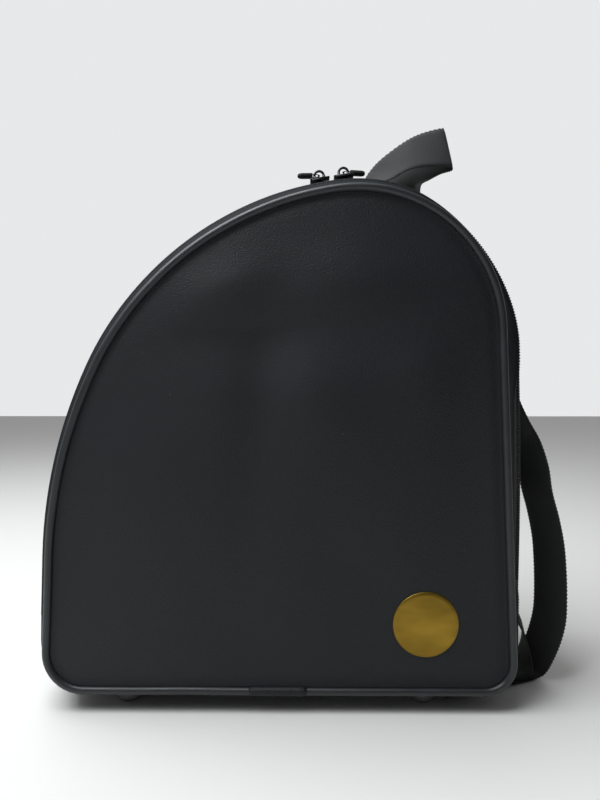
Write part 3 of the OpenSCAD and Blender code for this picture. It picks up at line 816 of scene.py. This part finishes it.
def base_slack(p):
    """Lets the base rise and fall a little between its sewn edges."""
    n = noise.noise(Vector((p.x * base_wave, p.y * base_wave, base_wave_place)))
    edge = ease((base_sewn_y - abs(p.y)) / base_sewn_fade)
    return p + Vector((0, 0, base_loose * n * edge))


def dress(material, *nodes):
    """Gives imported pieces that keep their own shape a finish."""
    for name in nodes:
        data = frame["nodes"][name].data
        data.materials.clear()
        data.materials.append(material)


bm = bmesh.new()
lines = [run("base", base_growth(y), 0, y, base_slack) for y in base_depths]
flange_depths = (base_depths[0] + base_flange_back, base_depths[-1])
turned_in = [run("base", edge_growth, -turn_in[0], y) for y in flange_depths]
skin(bm, [turned_in[0], *lines, turned_in[1]])
outward(bm)
base = thicken(new_piece("base_panel_cloth", bm, side_cloth, lining), sheet_t)
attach(base, "bag")
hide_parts("base_panel")
board_plastic = finished("board_plastic", board_colour, 0.55, tone=(30.0, 0.3),
                         grain=(1500.0, 0.3, 0.4, 0.0003))
dress(board_plastic, "base_board")


# Feet: moulded rubber domes under the base. Each is held by a plated screw through the board, with a
# flanged nut inside the bag.
# Painted light: the feet's rubber is made several times lighter than the pulls' rubber, to stand in for
# light that the shade under the bag takes away.
foot_lightened_colour = (0.11, 0.11, 0.11)
steel_colour = (0.50, 0.50, 0.51)


def moulded_rubber(name, colour):
    """Matt rubber with a fine grain, dusty in places."""
    return finished(name, colour, 0.6, tone=(90.0, 0.5), grain=(1800.0, 0.6, 0.35, 0.0002), dust=0.6,
                    sockets={"Specular IOR Level": 0.4})


plated_steel = finished("plated_steel", steel_colour, 0.32, tone=(300.0, 0.25), gloss=(0.24, 0.4),
                        sockets={"Metallic": 1.0})
dress(moulded_rubber("foot_rubber", foot_lightened_colour), "feet")
dress(plated_steel, "foot_screws", "foot_nuts")


# Corner gussets: short soft pieces of the cloth between the ends of the zip and the base. On the
# bag they fold open when the front comes down; here each is built closed, in one fixed shape.
corner_front = y_front + edge_back
corner_steps = 20
corner_slack = 0.4
for side in ("toe", "heel"):
    bm = bmesh.new()
    lines = [run(side, edge_growth, -depth, corner_front) for depth in reversed(turn_in)]
    for i in range(corner_steps + 1):
        y = corner_front + (tape_back - corner_front) * i / corner_steps
        lines.append(run(side, front_growth(y), 0, y, sides_slack(corner_slack)))
    skin(bm, lines)
    outward(bm)
    soft_corner = thicken(new_piece(side + "_corner_cloth", bm, side_cloth, lining), sheet_t)
    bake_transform(soft_corner)
    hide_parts(side + "_corner_gusset")


# Zip: two woven tapes with a row of nylon coil along each, the back one sewn under the gusset's
# hem and the front one under the flap's strip, and a moulded stop at each end.
tape_t = 0.0011
coil_pitch = 0.0025
coil_r = 0.00085
coil_l = 0.0047
coil_lift = 0.0011
coil_past = 0.0004
coil_head_r = 0.00105
coil_slant = math.radians(9)
coil_bed = 0.0017
bed_end_x = 0.150
bed_fade = 0.050
heel_dip = 0.0060
lean_low = 0.085
lean_low_fade = 0.03
lean_high = 0.300
lean_high_fade = 0.05
stop_l = 0.004
stop_w = 0.009
stop_t = 0.0032
zip_colour = (0.011, 0.0115, 0.0125)
coil_colour = (0.010, 0.010, 0.011)
zip_tape = woven_tape("zip_tape", zip_colour, 0.75, 7000.0, 5000.0, 0.0002)
nylon = finished("zip_nylon", coil_colour, 0.42, tone=(120.0, 0.5), grain=(2500.0, 0.4, 0.2, 0.0002),
                 sockets={"Specular IOR Level": 0.45})


def heel_share(p):
    """1 down the heel wall, fading out at its ends, and 0 elsewhere."""
    if p.x < top_c(zip_growth).x:
        return 0
    return ease((p.z - lean_low) / lean_low_fade) * ease((lean_high - p.z) / lean_high_fade)


def lean_in(p):
    """Draws in the cloth before the zip down the heel wall, so that the front coil faces forward."""
    up_strip = (p.y - y_front - edge_back) / (tape_front - y_front - edge_back)
    up_tape = (p.y - tape_front) / tape_w
    return p - Vector((heel_dip * heel_share(p) * max(0, min(up_strip, 1 - up_tape)), 0, 0))


def tipped(p, out):
    """The way out of the leaning front tape."""
    tip = math.atan(heel_dip * heel_share(p) / tape_w)
    return math.cos(tip) * out - math.sin(tip) * Vector((0, 1, 0))


def bedded(p):
    """Beds the tape and its coil between the hems over the toe and the top."""
    return p - coil_bed * ease((bed_end_x - p.x) / bed_fade) * from_middle(p)


def zip_half(name, near, far, head_side, body, start, *moves):
    """One tape and its coil: each turn is a bar across the tape with a rounded head."""
    bm = bmesh.new()
    soft = tape_t * 0.3
    section = [
        (zip_growth, -tape_t, near), (zip_growth, -tape_t, far), (zip_growth, -soft, far),
        (zip_growth, 0, far - soft), (zip_growth, 0, near + soft), (zip_growth, -soft, near)]
    skin(bm, [run("arch", *point, *moves) for point in section], around=True)
    close_ends(bm)
    tape = new_piece(name + "_zip_tape", bm, zip_tape)
    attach(tape, body)
    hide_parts(name + "_zip_tape")
    bm = bmesh.new()
    turn = bmesh.new()
    lying = (Matrix.Rotation(coil_slant, 4, "Z") @ Matrix.Translation((0, head_side * coil_l / 2, 0))
             @ Matrix.Rotation(math.pi / 2, 4, "X"))
    bmesh.ops.create_cone(turn, cap_ends=True, segments=8, radius1=coil_r, radius2=coil_r, depth=coil_l,
                          matrix=lying)
    bmesh.ops.create_uvsphere(turn, u_segments=6, v_segments=4, radius=coil_head_r)
    turns = []
    y = y_zip + head_side * coil_past
    for p, along, out in arch_places(zip_growth, coil_lift, y, coil_pitch, start, *moves):
        turns.append(along_frame(p, along, tipped(p, out) if head_side > 0 else out))
    strew(bm, turn, turns)
    coil = new_piece(name + "_zip_coil", bm, nylon)
    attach(coil, body)
    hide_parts(name + "_zip_coil")


def block(bm, low, high):
    """A box between two corners."""
    low, high = Vector(low), Vector(high)
    size = Matrix.Diagonal((*(high - low), 1))
    return bmesh.ops.create_cube(bm, size=1, matrix=Matrix.Translation((low + high) / 2) @ size)["verts"]


def round_off(bm, edges, size, segments):
    """Rounds edges off."""
    bmesh.ops.bevel(bm, geom=edges, offset=size, segments=segments, profile=0.5, affect="EDGES",
                    material=-1)


zip_half("rear", tape_back - tape_w, tape_back, -1, "bag", coil_pitch * 0.75, settle, bedded)
zip_half("front", tape_front, tape_front + tape_w, 1, "flap", coil_pitch * 0.25, settle, lean_in, bedded)
bm = bmesh.new()
for edge in (heel_x, toe_x):
    x = edge(zip_growth, 0, zip_end_z)
    low = (x - stop_t / 2, y_zip - stop_w / 2, zip_end_z)
    block(bm, low, (x + stop_t / 2, y_zip + stop_w / 2, zip_end_z + stop_l))
round_off(bm, list(bm.edges), stop_t * 0.3, 3)
stops = new_piece("zip_stops", bm, nylon)
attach(stops, "bag")
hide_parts("zip_end_stops")


# Front panel: made like the back one, with its welt and its binding, and hinged by the cloth of its
# bottom seam. It has gone a little slack: a soft fold runs across it above the middle, and it rolls
# under at the bottom.
front_slack = 0.0013
front_wave = 12
front_wave_high = 14
# Place, length, widths above and below, turn in degrees and height of each soft bulge or hollow
dents = [
    ((-0.052, 0.354), 0.042, (0.024, 0.020), 16, 0.0042),
    ((0.050, 0.360), 0.050, (0.030, 0.026), -8, 0.0032),
    ((-0.010, 0.317), 0.078, (0.010, 0.036), 7, -0.0046),
    ((0.034, 0.258), 0.050, (0.032, 0.040), -6, 0.0028),
    ((0.118, 0.272), 0.028, (0.034, 0.045), 0, 0.0032),
    ((-0.020, 0.230), 0.110, (0.024, 0.026), 84, -0.0036),
    ((0.190, 0.200), 0.130, (0.060, 0.060), 90, -0.0050),
    ((0.070, 0.110), 0.050, (0.040, 0.030), -30, -0.0028),
    ((0.135, 0.039), 0.070, (0.011, 0.012), 3, 0.0048),
    ((0.066, 0.040), 0.030, (0.008, 0.008), 45, -0.0014),
    ((-0.110, 0.150), 0.045, (0.070, 0.070), 0, 0.0014),
]


def front_dent(p):
    """How far the front panel's folds and slack stand out at a place."""
    out = front_slack * noise.noise(Vector((p.x * front_wave, 0, p.y * front_wave_high)))
    for (x, z), length, (above, below), turn, height in dents:
        off = Vector((p.x - bag_zero_x - x, p.y - z))
        axis = way(math.radians(turn))
        across = off.dot(Vector((-axis.y, axis.x)))
        u, v = off.dot(axis) / length, across / (above if across > 0 else below)
        out += height * math.exp(-u * u - v * v)
    return out


front_panel = panel("front_panel_pad", y_front, -1, front_dent, cloth, lining)
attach(front_panel, "flap")
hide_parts("front_panel", "front_foam")
welt("front_welt_cord", y_front, "flap", "front_welt")
binding("front_binding_tape", y_front, -1, "flap", "front_binding")


# Welt joint: where the ends of the front welt meet in the middle of the bottom seam, a scrap of
# the coated cloth is wrapped over them.
joint_x = (-0.027, 0.021)
joint_steps = 12
joint_pinch = 0.86
sleeve_r = cord_r + 0.0005
bm = bmesh.new()
lines = []
xs = [joint_x[0] + (joint_x[1] - joint_x[0]) * i / joint_steps for i in range(joint_steps + 1)]
radii = [sleeve_r * joint_pinch, *[sleeve_r] * (joint_steps - 1), sleeve_r * joint_pinch]
for a in welt_angles:
    lines.append([Vector((bag_zero_x + x, y_front + r * math.sin(a), seam_z + r * math.cos(a)))
                  for x, r in zip(xs, radii)])
skin(bm, lines, around=True)
close_ends(bm)
sleeve = new_piece("welt_joint", bm, cloth)
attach(sleeve, "flap")


# Front strip: a narrow strip of the cloth between the front welt and the zip, hemmed along the
# zip like the gusset.
strip_front = y_front + edge_back
strip_back = tape_front - seat_gap
strip_depths = [0, 0.0014, 0.0035, 0.006, 0.009, 0.012, 0.0147]
strip_slack = 0.25
strip_margin = 0.005
strip_first_stitch = 0.001
bm = bmesh.new()
lines = [run("arch", edge_growth, -depth, strip_front) for depth in reversed(turn_in)]
for depth in strip_depths:
    y = strip_front + depth * (strip_back - y_front - edge_back) / strip_depths[-1]
    loose = sides_slack(strip_slack * ease(depth / strip_margin))
    lines.append(run("arch", front_growth(y), 0, y, loose, settle, lean_in))
lines.append(run("arch", front_growth(strip_back), -lip_depth, strip_back - lip_back, settle, lean_in))
skin(bm, lines)
outward(bm)
strip = thicken(new_piece("front_strip_cloth", bm, side_cloth, lining), sheet_t)
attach(strip, "flap")
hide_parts("front_strip")
bm = bmesh.new()
y = strip_back - hem
sew(bm, arch_places(front_growth(y), stitch_lift, y, stitch_pitch, strip_first_stitch, settle, lean_in))
strip_stitches = new_piece("strip_stitches", bm, thread)
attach(strip_stitches, "flap")


# Disc: a thin satin-gold plate with a brushed face, stuck on the front panel low on the heel side and
# lying to the panel's soft shape.
disc_low, disc_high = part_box("badge_disc")
disc_c = (disc_low + disc_high) / 2
disc_r = (disc_high.x - disc_low.x) / 2
disc_rise = 0.0009
disc_edge = 0.0004
disc_seat = 0.0001
disc_points = 96
disc_rings = (0.85, 0.6, 0.35, 0.12)
ray_start = 0.05
gold_colour = (0.30, 0.185, 0.024)
gold, tree, surface = shader("satin_gold", gold_colour, 0.38, {"Metallic": 0.9})
where = add(tree, "TexCoord").outputs["Object"]
# Painted reflection: broad soft bands make the gold's colour lighter and darker across the disc, and its
# roughness follows them. The brushed streaks below are only a bump.
broad = add(tree, "Mapping", {0: where, 3: (22.0, 8.0, 60.0)}).outputs[0]
painted_sheen_bands = add(tree, "TexNoise", {"Vector": broad, "Scale": 1.0, "Detail": 2.0}).outputs["Fac"]
tone = carried(tree, painted_sheen_bands, 0.3, 0.7, 0.72, 1.12)
tree.links.new(toned(tree, gold_colour, tone), surface.inputs["Base Color"])
tree.links.new(carried(tree, painted_sheen_bands, 0.3, 0.7, 0.48, 0.32), surface.inputs["Roughness"])
streaked = add(tree, "Mapping", {0: where, 3: (1.0, 1.0, 30.0)}).outputs[0]
brushed = add(tree, "TexNoise", {"Vector": streaked, "Scale": 160.0, "Detail": 2.0}).outputs["Fac"]
bump(tree, surface, brushed, 0.12, 0.0002)
bpy.context.view_layer.update()
shown_panel = front_panel.evaluated_get(bpy.context.evaluated_depsgraph_get())


def on_panel(x, z, rise):
    """The point of the front panel's face at x and z, lifted by rise."""
    point = shown_panel.ray_cast(Vector((x, y_front - ray_start, z)), Vector((0, 1, 0)))[1]
    return point + Vector((0, -rise, 0))


bm = bmesh.new()
lines = []
rings = [(disc_r, disc_seat), (disc_r, disc_rise - disc_edge), (disc_r - disc_edge, disc_rise)]
for r, rise in rings + [(disc_r * k, disc_rise) for k in disc_rings]:
    spots = [r * way(2 * math.pi * i / disc_points) for i in range(disc_points)]
    lines.append([on_panel(disc_c.x + p.x, disc_c.z + p.y, rise) for p in spots])
skin(bm, lines, closed=True)
close_ends(bm)
disc = new_piece("gold_disc", bm, gold)
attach(disc, "flap")
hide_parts("badge_disc")


# Sliders: die-cast and enamelled black. Two plates joined by a divider ride over and under the
# coil, with side flanges, and an arch on top holds the pull.
slot_top = 0.0034
slot_low = -0.0032
plate_t = 0.0018
slider_l = 0.017
slider_w = 0.013
slider_taper = 0.62
slider_edge = 0.00042
flange_span = (-0.2, 0.8)
flange_low = 0.0009
flange_high = 0.0004
flange_in = 0.0011
flange_out = 0.0004
divider_l = 0.006
divider_w = 0.001
divider_bite = 0.0005
bail_r = 0.004
bail_wire_r = 0.0011
leg_r = bail_wire_r * 1.25
pull_up = slot_top + plate_t + 0.0027
toe_slider_angle = math.radians(100.3)
heel_slider_angle = math.radians(94.2)
quarter = math.pi / 2
full_turn = 2 * math.pi
enamel_colour = (0.012, 0.0125, 0.0135)
enamel = finished("black_enamel", enamel_colour, 0.3, tone=(220.0, 0.8), gloss=(0.22, 0.4),
                  sockets={"Metallic": 0.3, "Coat Weight": 0.3})


def on_arc(centre, r, angle):
    """A matrix at a place on the zip: X outwards, Y along the zip towards the toe, Z to the front."""
    out, along = way(angle), way(angle + quarter)
    spot = centre + r * out
    turn = Matrix(((out.x, along.x, 0), (0, 0, -1), (out.y, along.y, 0)))
    return Matrix.Translation((spot.x, y_zip, spot.y)) @ turn.to_4x4()


def wire_arch(bm, centre, r, wire, axis, start, turn, steps):
    """A round wire bent about an axis through a centre, from a start direction."""
    loop = bmesh.ops.create_circle(bm, segments=12, radius=wire)["verts"]
    bmesh.ops.rotate(bm, verts=loop, matrix=start.to_3x3(), cent=(0, 0, 0))
    bmesh.ops.translate(bm, verts=loop, vec=Vector(centre) + start @ Vector((r, 0, 0)))
    edges = list({edge for vert in loop for edge in vert.link_edges})
    bmesh.ops.spin(bm, geom=loop + edges, cent=centre, axis=axis, angle=turn, steps=steps,
                   use_merge=turn == full_turn, use_duplicate=False)


def slider(name, centre, r, angle, body):
    """Two tapered plates, flanges and a divider, with a wire arch on two legs."""
    bm = bmesh.new()
    half_l, half_w = slider_l / 2, slider_w / 2
    nose = 1 if body == "toe_slider" else -1
    for low in (slot_top, slot_low - plate_t):
        for vert in block(bm, (low, -half_l, -half_w), (low + plate_t, half_l, half_w)):
            if nose * vert.co.y < 0:
                vert.co.z *= slider_taper
    for z in (-half_w, half_w):
        near, far = [half_l * k for k in flange_span]
        low = (slot_top - flange_low, near, z - flange_in)
        block(bm, low, (slot_top + flange_high, far, z + flange_out))
    block(bm, (slot_low - divider_bite, -divider_l / 2, -divider_w / 2),
          (slot_top + divider_bite, divider_l / 2, divider_w / 2))
    round_off(bm, list(bm.edges), slider_edge, 2)
    start = Matrix.Rotation(-quarter, 3, "Z") @ Matrix.Rotation(quarter, 3, "X")
    wire_arch(bm, (pull_up, 0, 0), bail_r, bail_wire_r, (0, 0, 1), start, math.pi, 20)
    leg_low = slot_top + plate_t / 2
    for y in (-bail_r, bail_r):
        leg = Matrix.Translation(((leg_low + pull_up) / 2, y, 0)) @ Matrix.Rotation(quarter, 4, "Y")
        bmesh.ops.create_cone(bm, cap_ends=True, segments=12, radius1=leg_r, radius2=leg_r,
                              depth=pull_up - leg_low, matrix=leg)
    bmesh.ops.transform(bm, matrix=on_arc(centre, r, angle), verts=bm.verts)
    bmesh.ops.recalc_face_normals(bm, faces=bm.faces)
    piece = new_piece(name, bm, enamel)
    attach(piece, body)
    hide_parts(body)


zip_toe = (toe_c, toe_arc_r + zip_growth)
zip_top = (top_c(zip_growth), top_r(zip_growth))
slider("toe_slider_body", *zip_toe, toe_slider_angle, "toe_slider")
slider("heel_slider_body", *zip_top, heel_slider_angle, "heel_slider")


# Pulls: a wire ring through each slider's arch, with a moulded rubber tab on it. The tab has a row of
# raised ribs on both faces for grip.
ring_r = 0.0036
ring_wire_r = 0.0009
tab_l = 0.013
tab_w = 0.009
tab_t = 0.0024
tab_near = 2 * ring_r - 0.0016
tab_tip_r = tab_w * 0.46
tab_rim_r = 0.0006
sharp = 0.5
rib_count = 4
rib_first = 0.32
rib_step = 0.13
rib_size = (0.0005, 0.0006, tab_w * 0.34, 1)
toe_pull_tilt = math.radians(10)
heel_pull_tilt = math.radians(8)
grip_colour = (0.022, 0.022, 0.0225)
grip_rubber = moulded_rubber("grip_rubber", grip_colour)


def pull(name, centre, r, angle, tilt, side, body):
    """A wire ring, and a tab with a round tip, rounded rims and ribs."""
    seat = on_arc(centre, r, angle) @ Matrix.Translation((pull_up, 0, 0)) @ Matrix.Rotation(-tilt, 4, "Z")
    bm = bmesh.new()
    wire_arch(bm, (0, side * ring_r, 0), ring_r, ring_wire_r, (1, 0, 0),
              Matrix.Rotation(-quarter, 3, "Y"), full_turn, 28)
    bmesh.ops.remove_doubles(bm, verts=bm.verts, dist=1e-6)
    bmesh.ops.transform(bm, matrix=seat, verts=bm.verts)
    bmesh.ops.recalc_face_normals(bm, faces=bm.faces)
    wire = new_piece(name + "_wire", bm, enamel)
    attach(wire, body)
    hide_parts(name + "_ring")
    bm = bmesh.new()
    far = tab_near + tab_l
    block(bm, (-tab_t / 2, side * tab_near, -tab_w / 2), (tab_t / 2, side * far, tab_w / 2))
    ends = [e for e in bm.edges if abs(e.verts[0].co.x - e.verts[1].co.x) > 1e-5]
    tips = [e for e in ends if abs(e.verts[0].co.y) > tab_near + tab_l / 2]
    round_off(bm, tips, tab_tip_r, 8)
    rims = [e for e in bm.edges if e.is_manifold and e.calc_face_angle() > sharp]
    round_off(bm, rims, tab_rim_r, 3)
    for i in range(rib_count):
        y = side * (tab_near + tab_l * (rib_first + rib_step * i))
        for face_x in (-tab_t / 2, tab_t / 2):
            rib = Matrix.Translation((face_x, y, 0)) @ Matrix.Diagonal(rib_size)
            bmesh.ops.create_uvsphere(bm, u_segments=8, v_segments=6, radius=1, matrix=rib)
    bmesh.ops.transform(bm, matrix=seat, verts=bm.verts)
    bmesh.ops.recalc_face_normals(bm, faces=bm.faces)
    tab = new_piece(name + "_grip", bm, grip_rubber)
    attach(tab, body)
    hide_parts(name + "_tab")


pull("toe_pull", *zip_toe, toe_slider_angle, toe_pull_tilt, 1, "toe_pull")
pull("heel_pull", *zip_top, heel_slider_angle, heel_pull_tilt, -1, "heel_pull")


# Handle: one length of heavy webbing, both ends sewn flat on the gusset, which has flopped over to
# the heel side with a half twist. On the bag the sewn ends stay put as the loop swings; here the whole
# handle is one fixed piece.
web_w = 0.038
web_t = 0.0016
web_lift = seat_gap + web_t / 2
web_colour = (0.027, 0.027, 0.029)
web_step = 0.0006
web_points = 11
web_reach = 4
warp_pitch = 0.0016
selvedge_pitch = 0.0034
selvedge_depth = 0.0004
selvedge_thin = 0.55
selvedge_curve = 9
handle_angle = math.radians(76)
handle_y = y_zip + 0.032
handle_h = 0.062
handle_reach = 0.056
# Where each sewn end starts from the handle's middle, and its length, as shares of the reach
sewn_from = {-1: 0.357, 1: 0.429}
sewn_l = 0.5
sewn_bend = 0.35
webbing_cloth = woven_tape("webbing", web_colour, 0.72, 2 * math.pi / warp_pitch,
                           2 * math.pi / selvedge_pitch, 0.0005)


def smooth_line(points, steps=16):
    """A smooth line through the points."""
    padded = [2 * points[0] - points[1], *points, 2 * points[-1] - points[-2]]
    line = []
    for a, b, c, d in zip(padded, padded[1:], padded[2:], padded[3:]):
        for i in range(steps):
            t = i / steps
            line.append(0.5 * (2 * b + (c - a) * t + (2 * a - 5 * b + 4 * c - d) * t * t
                               + (3 * b - a - 3 * c + d) * t ** 3))
    return [*line, points[-1]]


def webbing(bm, near, far):
    """A woven ribbon between two edge lines, with rounded selvedges that show each pick."""
    near, far = smooth_line(near), smooth_line(far)
    middle = [(a + b) / 2 for a, b in zip(near, far)]
    lengths = [0.0]
    for a, b in zip(middle, middle[1:]):
        lengths.append(lengths[-1] + (b - a).length)
    count = int(lengths[-1] / web_step)
    stations = []
    k = 0
    for i in range(count + 1):
        s = lengths[-1] * i / count
        while k < len(lengths) - 2 and lengths[k + 1] < s:
            k += 1
        t = (s - lengths[k]) / (lengths[k + 1] - lengths[k])
        stations.append((s, near[k].lerp(near[k + 1], t), far[k].lerp(far[k + 1], t)))
    lines = [[] for i in range(2 * web_points)]
    for i, (s, a, b) in enumerate(stations):
        before, after = stations[max(0, i - web_reach)], stations[min(count, i + web_reach)]
        forward = (after[1] + after[2]) - (before[1] + before[2])
        across = (b - a).normalized()
        face = forward.cross(across).normalized()
        half = (b - a).length / 2 + selvedge_depth * math.cos(2 * math.pi * s / selvedge_pitch)
        for j, line in enumerate(lines):
            side = 1 if j < web_points else -1
            v = side * (2 * (j % web_points) / (web_points - 1) - 1)
            thick = web_t / 2 * (1 - selvedge_thin * abs(v) ** selvedge_curve)
            line.append((a + b) / 2 + across * v * half + face * side * thick)
    wide = (stations[0][2] - stations[0][1]).length / (web_points - 1)
    widths = [wide * j for j in range(web_points)]
    skin(bm, lines, around=True, widths=widths + widths[::-1])
    close_ends(bm)


def on_top(angle, y, lift, g):
    """A place over the arc of the heel."""
    p = top_c(g) + (top_r(g) + lift) * way(angle)
    return Vector((p.x, y, p.y))


handle_foot = on_top(handle_angle, handle_y, 0, gusset_growth(handle_y))
# Edges of the free loop from its foot, as shares of the reach, the webbing's width and the height
loop_near = [(-0.268, -0.5, 0.1), (-0.161, -0.5, 0.115), (0, -0.487, 0.165), (0.232, -0.447, 0.288),
             (0.446, -0.395, 0.346), (0.714, -0.316, 0.374), (0.946, -0.224, 0.382), (1, -0.118, 0.38),
             (0.982, -0.039, 0.368), (0.804, -0.132, 0.305), (0.607, -0.263, 0.195), (0.464, -0.395, 0.1)]
loop_far = [(-0.446, 0.5, 0.21), (-0.393, 0.474, 0.323), (-0.304, 0.368, 0.452), (-0.125, 0.184, 0.597),
            (0.232, 0.105, 0.823), (0.5, 0.053, 0.935), (0.821, 0, 1), (0.884, 0.092, 1),
            (0.84, 0.171, 0.93), (0.52, 0.342, 0.65), (0.10, 0.474, 0.45), (0, 0.5, 0.22)]


def handle_edge(loop, y):
    """Along one edge of the handle: sewn end, free loop, sewn end."""
    r = top_r(zip_growth)
    free = [handle_foot + Vector((x * handle_reach, d * web_w, z * handle_h)) for x, d, z in loop]

    def sewn(side):
        first = handle_angle - side * handle_reach * sewn_from[side] / r
        span = side * handle_reach * sewn_l / r
        return [on_top(first - span * k / 4, y, web_lift, gusset_growth(y)) for k in (4, 3, 2, 1, 0)]

    left, right = sewn(-1), sewn(1)
    left_bend = left[-1].lerp(free[0], sewn_bend)
    right_bend = right[-1].lerp(free[-1], sewn_bend)
    return [*left, left_bend, *free, right_bend, *reversed(right)]


bm = bmesh.new()
webbing(bm, handle_edge(loop_near, handle_y - web_w / 2), handle_edge(loop_far, handle_y + web_w / 2))
handle = new_piece("carry_handle", bm, webbing_cloth)
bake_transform(handle)
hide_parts("handle_ends", "handle_loop")


# Shoulder strap: the same webbing, sewn on the gusset over the heel. It hangs down the heel side,
# and its loose end turns in under the bag along the floor.
wall_x = heel_x(zip_growth + swell, 0, zip_end_z)
strap_out = 0.048
strap_top = top_c(zip_growth).y - 0.046
strap_sewn_angles = (54, 48, 42, 36, 30, 24)
# The bend from the sewn end to the hanging length, as shares of the gap between them
strap_bend = ((0.42, 0.1, 0.2), (0.72, 0.4, 0.5), (0.88, 0.75, 0.78))
tail_l = 0.092
tail_shares = (0.08, 0.5, 1)
tail_lead = 0.25
tail_turn = math.radians(20.3)
tail_way = -Vector((math.cos(tail_turn), math.sin(tail_turn), 0))
tail_z = web_t / 2 + 0.0004
# Stand-off, y and height as shares of strap_out, web_w and strap_top, and the twist in degrees
strap_run = [(0.2, 0, 1, 10), (0.35, 0, 0.916, 18), (0.555, 0, 0.836, 24), (0.68, -0.08, 0.748, 26),
             (0.73, -0.16, 0.66, 26), (0.84, -0.21, 0.573, 26), (0.925, -0.26, 0.481, 26),
             (0.94, -0.34, 0.397, 26), (0.93, -0.42, 0.305, 26), (0.895, -0.47, 0.218, 26),
             (0.8, -0.47, 0.145, 26), (0.69, -0.4, 0.08, 25), (0.62, -0.29, 0.0344, 23),
             (0.55, -0.21, 0.0122, 20)]


def across_way(twist):
    """The way across webbing that hangs with a twist."""
    return Vector((math.sin(twist), -math.cos(twist), 0))


def strap_mid(s):
    return Vector((wall_x + s[0] * strap_out, s[1] * web_w, s[2] * strap_top))


floor_mid = strap_mid(strap_run[-1]) + tail_lead * web_w * tail_way


def tail_mid(k):
    """The middle of the loose end at a share of its length."""
    return Vector((floor_mid.x, floor_mid.y, tail_z)) + k * tail_l * tail_way


def strap_edge(side):
    """Along one edge of the strap: sewn end, bend, hanging length, loose end."""
    y = -side * web_w / 2
    hanging = [strap_mid(s) + side * web_w / 2 * across_way(math.radians(s[3])) for s in strap_run]
    flat = [on_top(math.radians(a), y, web_lift, zip_growth + swell) for a in strap_sewn_angles]
    low = flat[-1]
    gap = hanging[0] - low
    bend = [low + Vector((gap.x * x, gap.y * d, gap.z * z)) for x, d, z in strap_bend]
    tail = [tail_mid(k) + side * web_w / 2 * across_way(tail_turn) for k in tail_shares]
    return [*flat, *bend, *hanging, *tail]


bm = bmesh.new()
webbing(bm, strap_edge(1), strap_edge(-1))
strap = new_piece("strap_webbing", bm, webbing_cloth)
top_c(0).y + 0.042
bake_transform(strap)
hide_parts("strap_upper_end", "shoulder_strap")


# Lower tab: a short narrower length of webbing sewn to the foot of the heel wall, hanging slack and
# sewn on top of the strap's loose end.
tab_share = 0.84
tab_y = -0.37 * web_w
tab_z = 0.088
tab_wall_shares = (1, 0.9, 0.8)
tab_tail_shares = (0.13, 0.21, 0.34)
# Stand-off, y and height as shares of strap_out, web_w and tab_z, and the twist in degrees
tab_run = [(0.21, -0.395, 0.7, -16), (0.38, -0.408, 0.53, -17), (0.45, -0.421, 0.352, -8),
           (0.44, -0.421, 0.205, 4), (0.37, -0.447, 0.102, 14)]


def tab_edge(side):
    """Along one edge of the tab: sewn end, slack length, end on the strap."""
    half = side * web_w * tab_share / 2
    wall = [Vector((wall_x + web_lift, tab_y - half, k * tab_z)) for k in tab_wall_shares]
    hang = [Vector((wall_x + x * strap_out, d * web_w, z * tab_z)) + half * across_way(math.radians(t))
            for x, d, z, t in tab_run]
    lift = Vector((0, 0, web_t + seat_gap))
    low = [tail_mid(k) + lift + half * across_way(tail_turn) for k in tab_tail_shares]
    return [*wall, *hang, *low]


bm = bmesh.new()
webbing(bm, tab_edge(1), tab_edge(-1))
tab = new_piece("lower_tab", bm, webbing_cloth)
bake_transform(tab)
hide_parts("lower_anchor_tab")


# Box stitching: each sewn end of webbing on the gusset is held by a square of stitches with a cross
# in it, in the same black thread as the hems.
box_inset = 0.005
box_pitch = stitch_pitch * 0.8
box_first_stitch = 0.0006
box_lift = web_lift + web_t / 2 + 0.0001
box_lines = [(0, 1), (1, 2), (2, 3), (3, 0), (0, 2), (1, 3)]
box_far = 0.003
box_near = 0.004
strap_box = (math.radians(52), math.radians(38))


def box_stitches(name, a, b, y, g):
    """Stitches round a patch between two angles, and along its diagonals, in the middle of webbing."""
    near, far = y - web_w / 2 + box_inset, y + web_w / 2 - box_inset
    corners = [on_top(angle, side, box_lift, g(side))
               for angle, side in ((a, near), (b, near), (b, far), (a, far))]
    middle = way((a + b) / 2)
    out = Vector((middle.x, 0, middle.y))
    bm = bmesh.new()
    for i, j in box_lines:
        sew(bm, ((p, d, out) for p, d in march([corners[i], corners[j]], box_pitch, box_first_stitch)))
    piece = new_piece(name, bm, thread)
    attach(piece, "bag")


r = top_r(zip_growth)
for name, side in (("handle_toe_stitches", -1), ("handle_heel_stitches", 1)):
    a = handle_angle - side * (handle_reach * (sewn_from[side] + sewn_l) - box_far) / r
    b = handle_angle - side * (handle_reach * sewn_from[side] + box_near) / r
    box_stitches(name, a, b, handle_y, gusset_growth)
box_stitches("strap_stitches", *strap_box, 0, lambda y: zip_growth + swell)
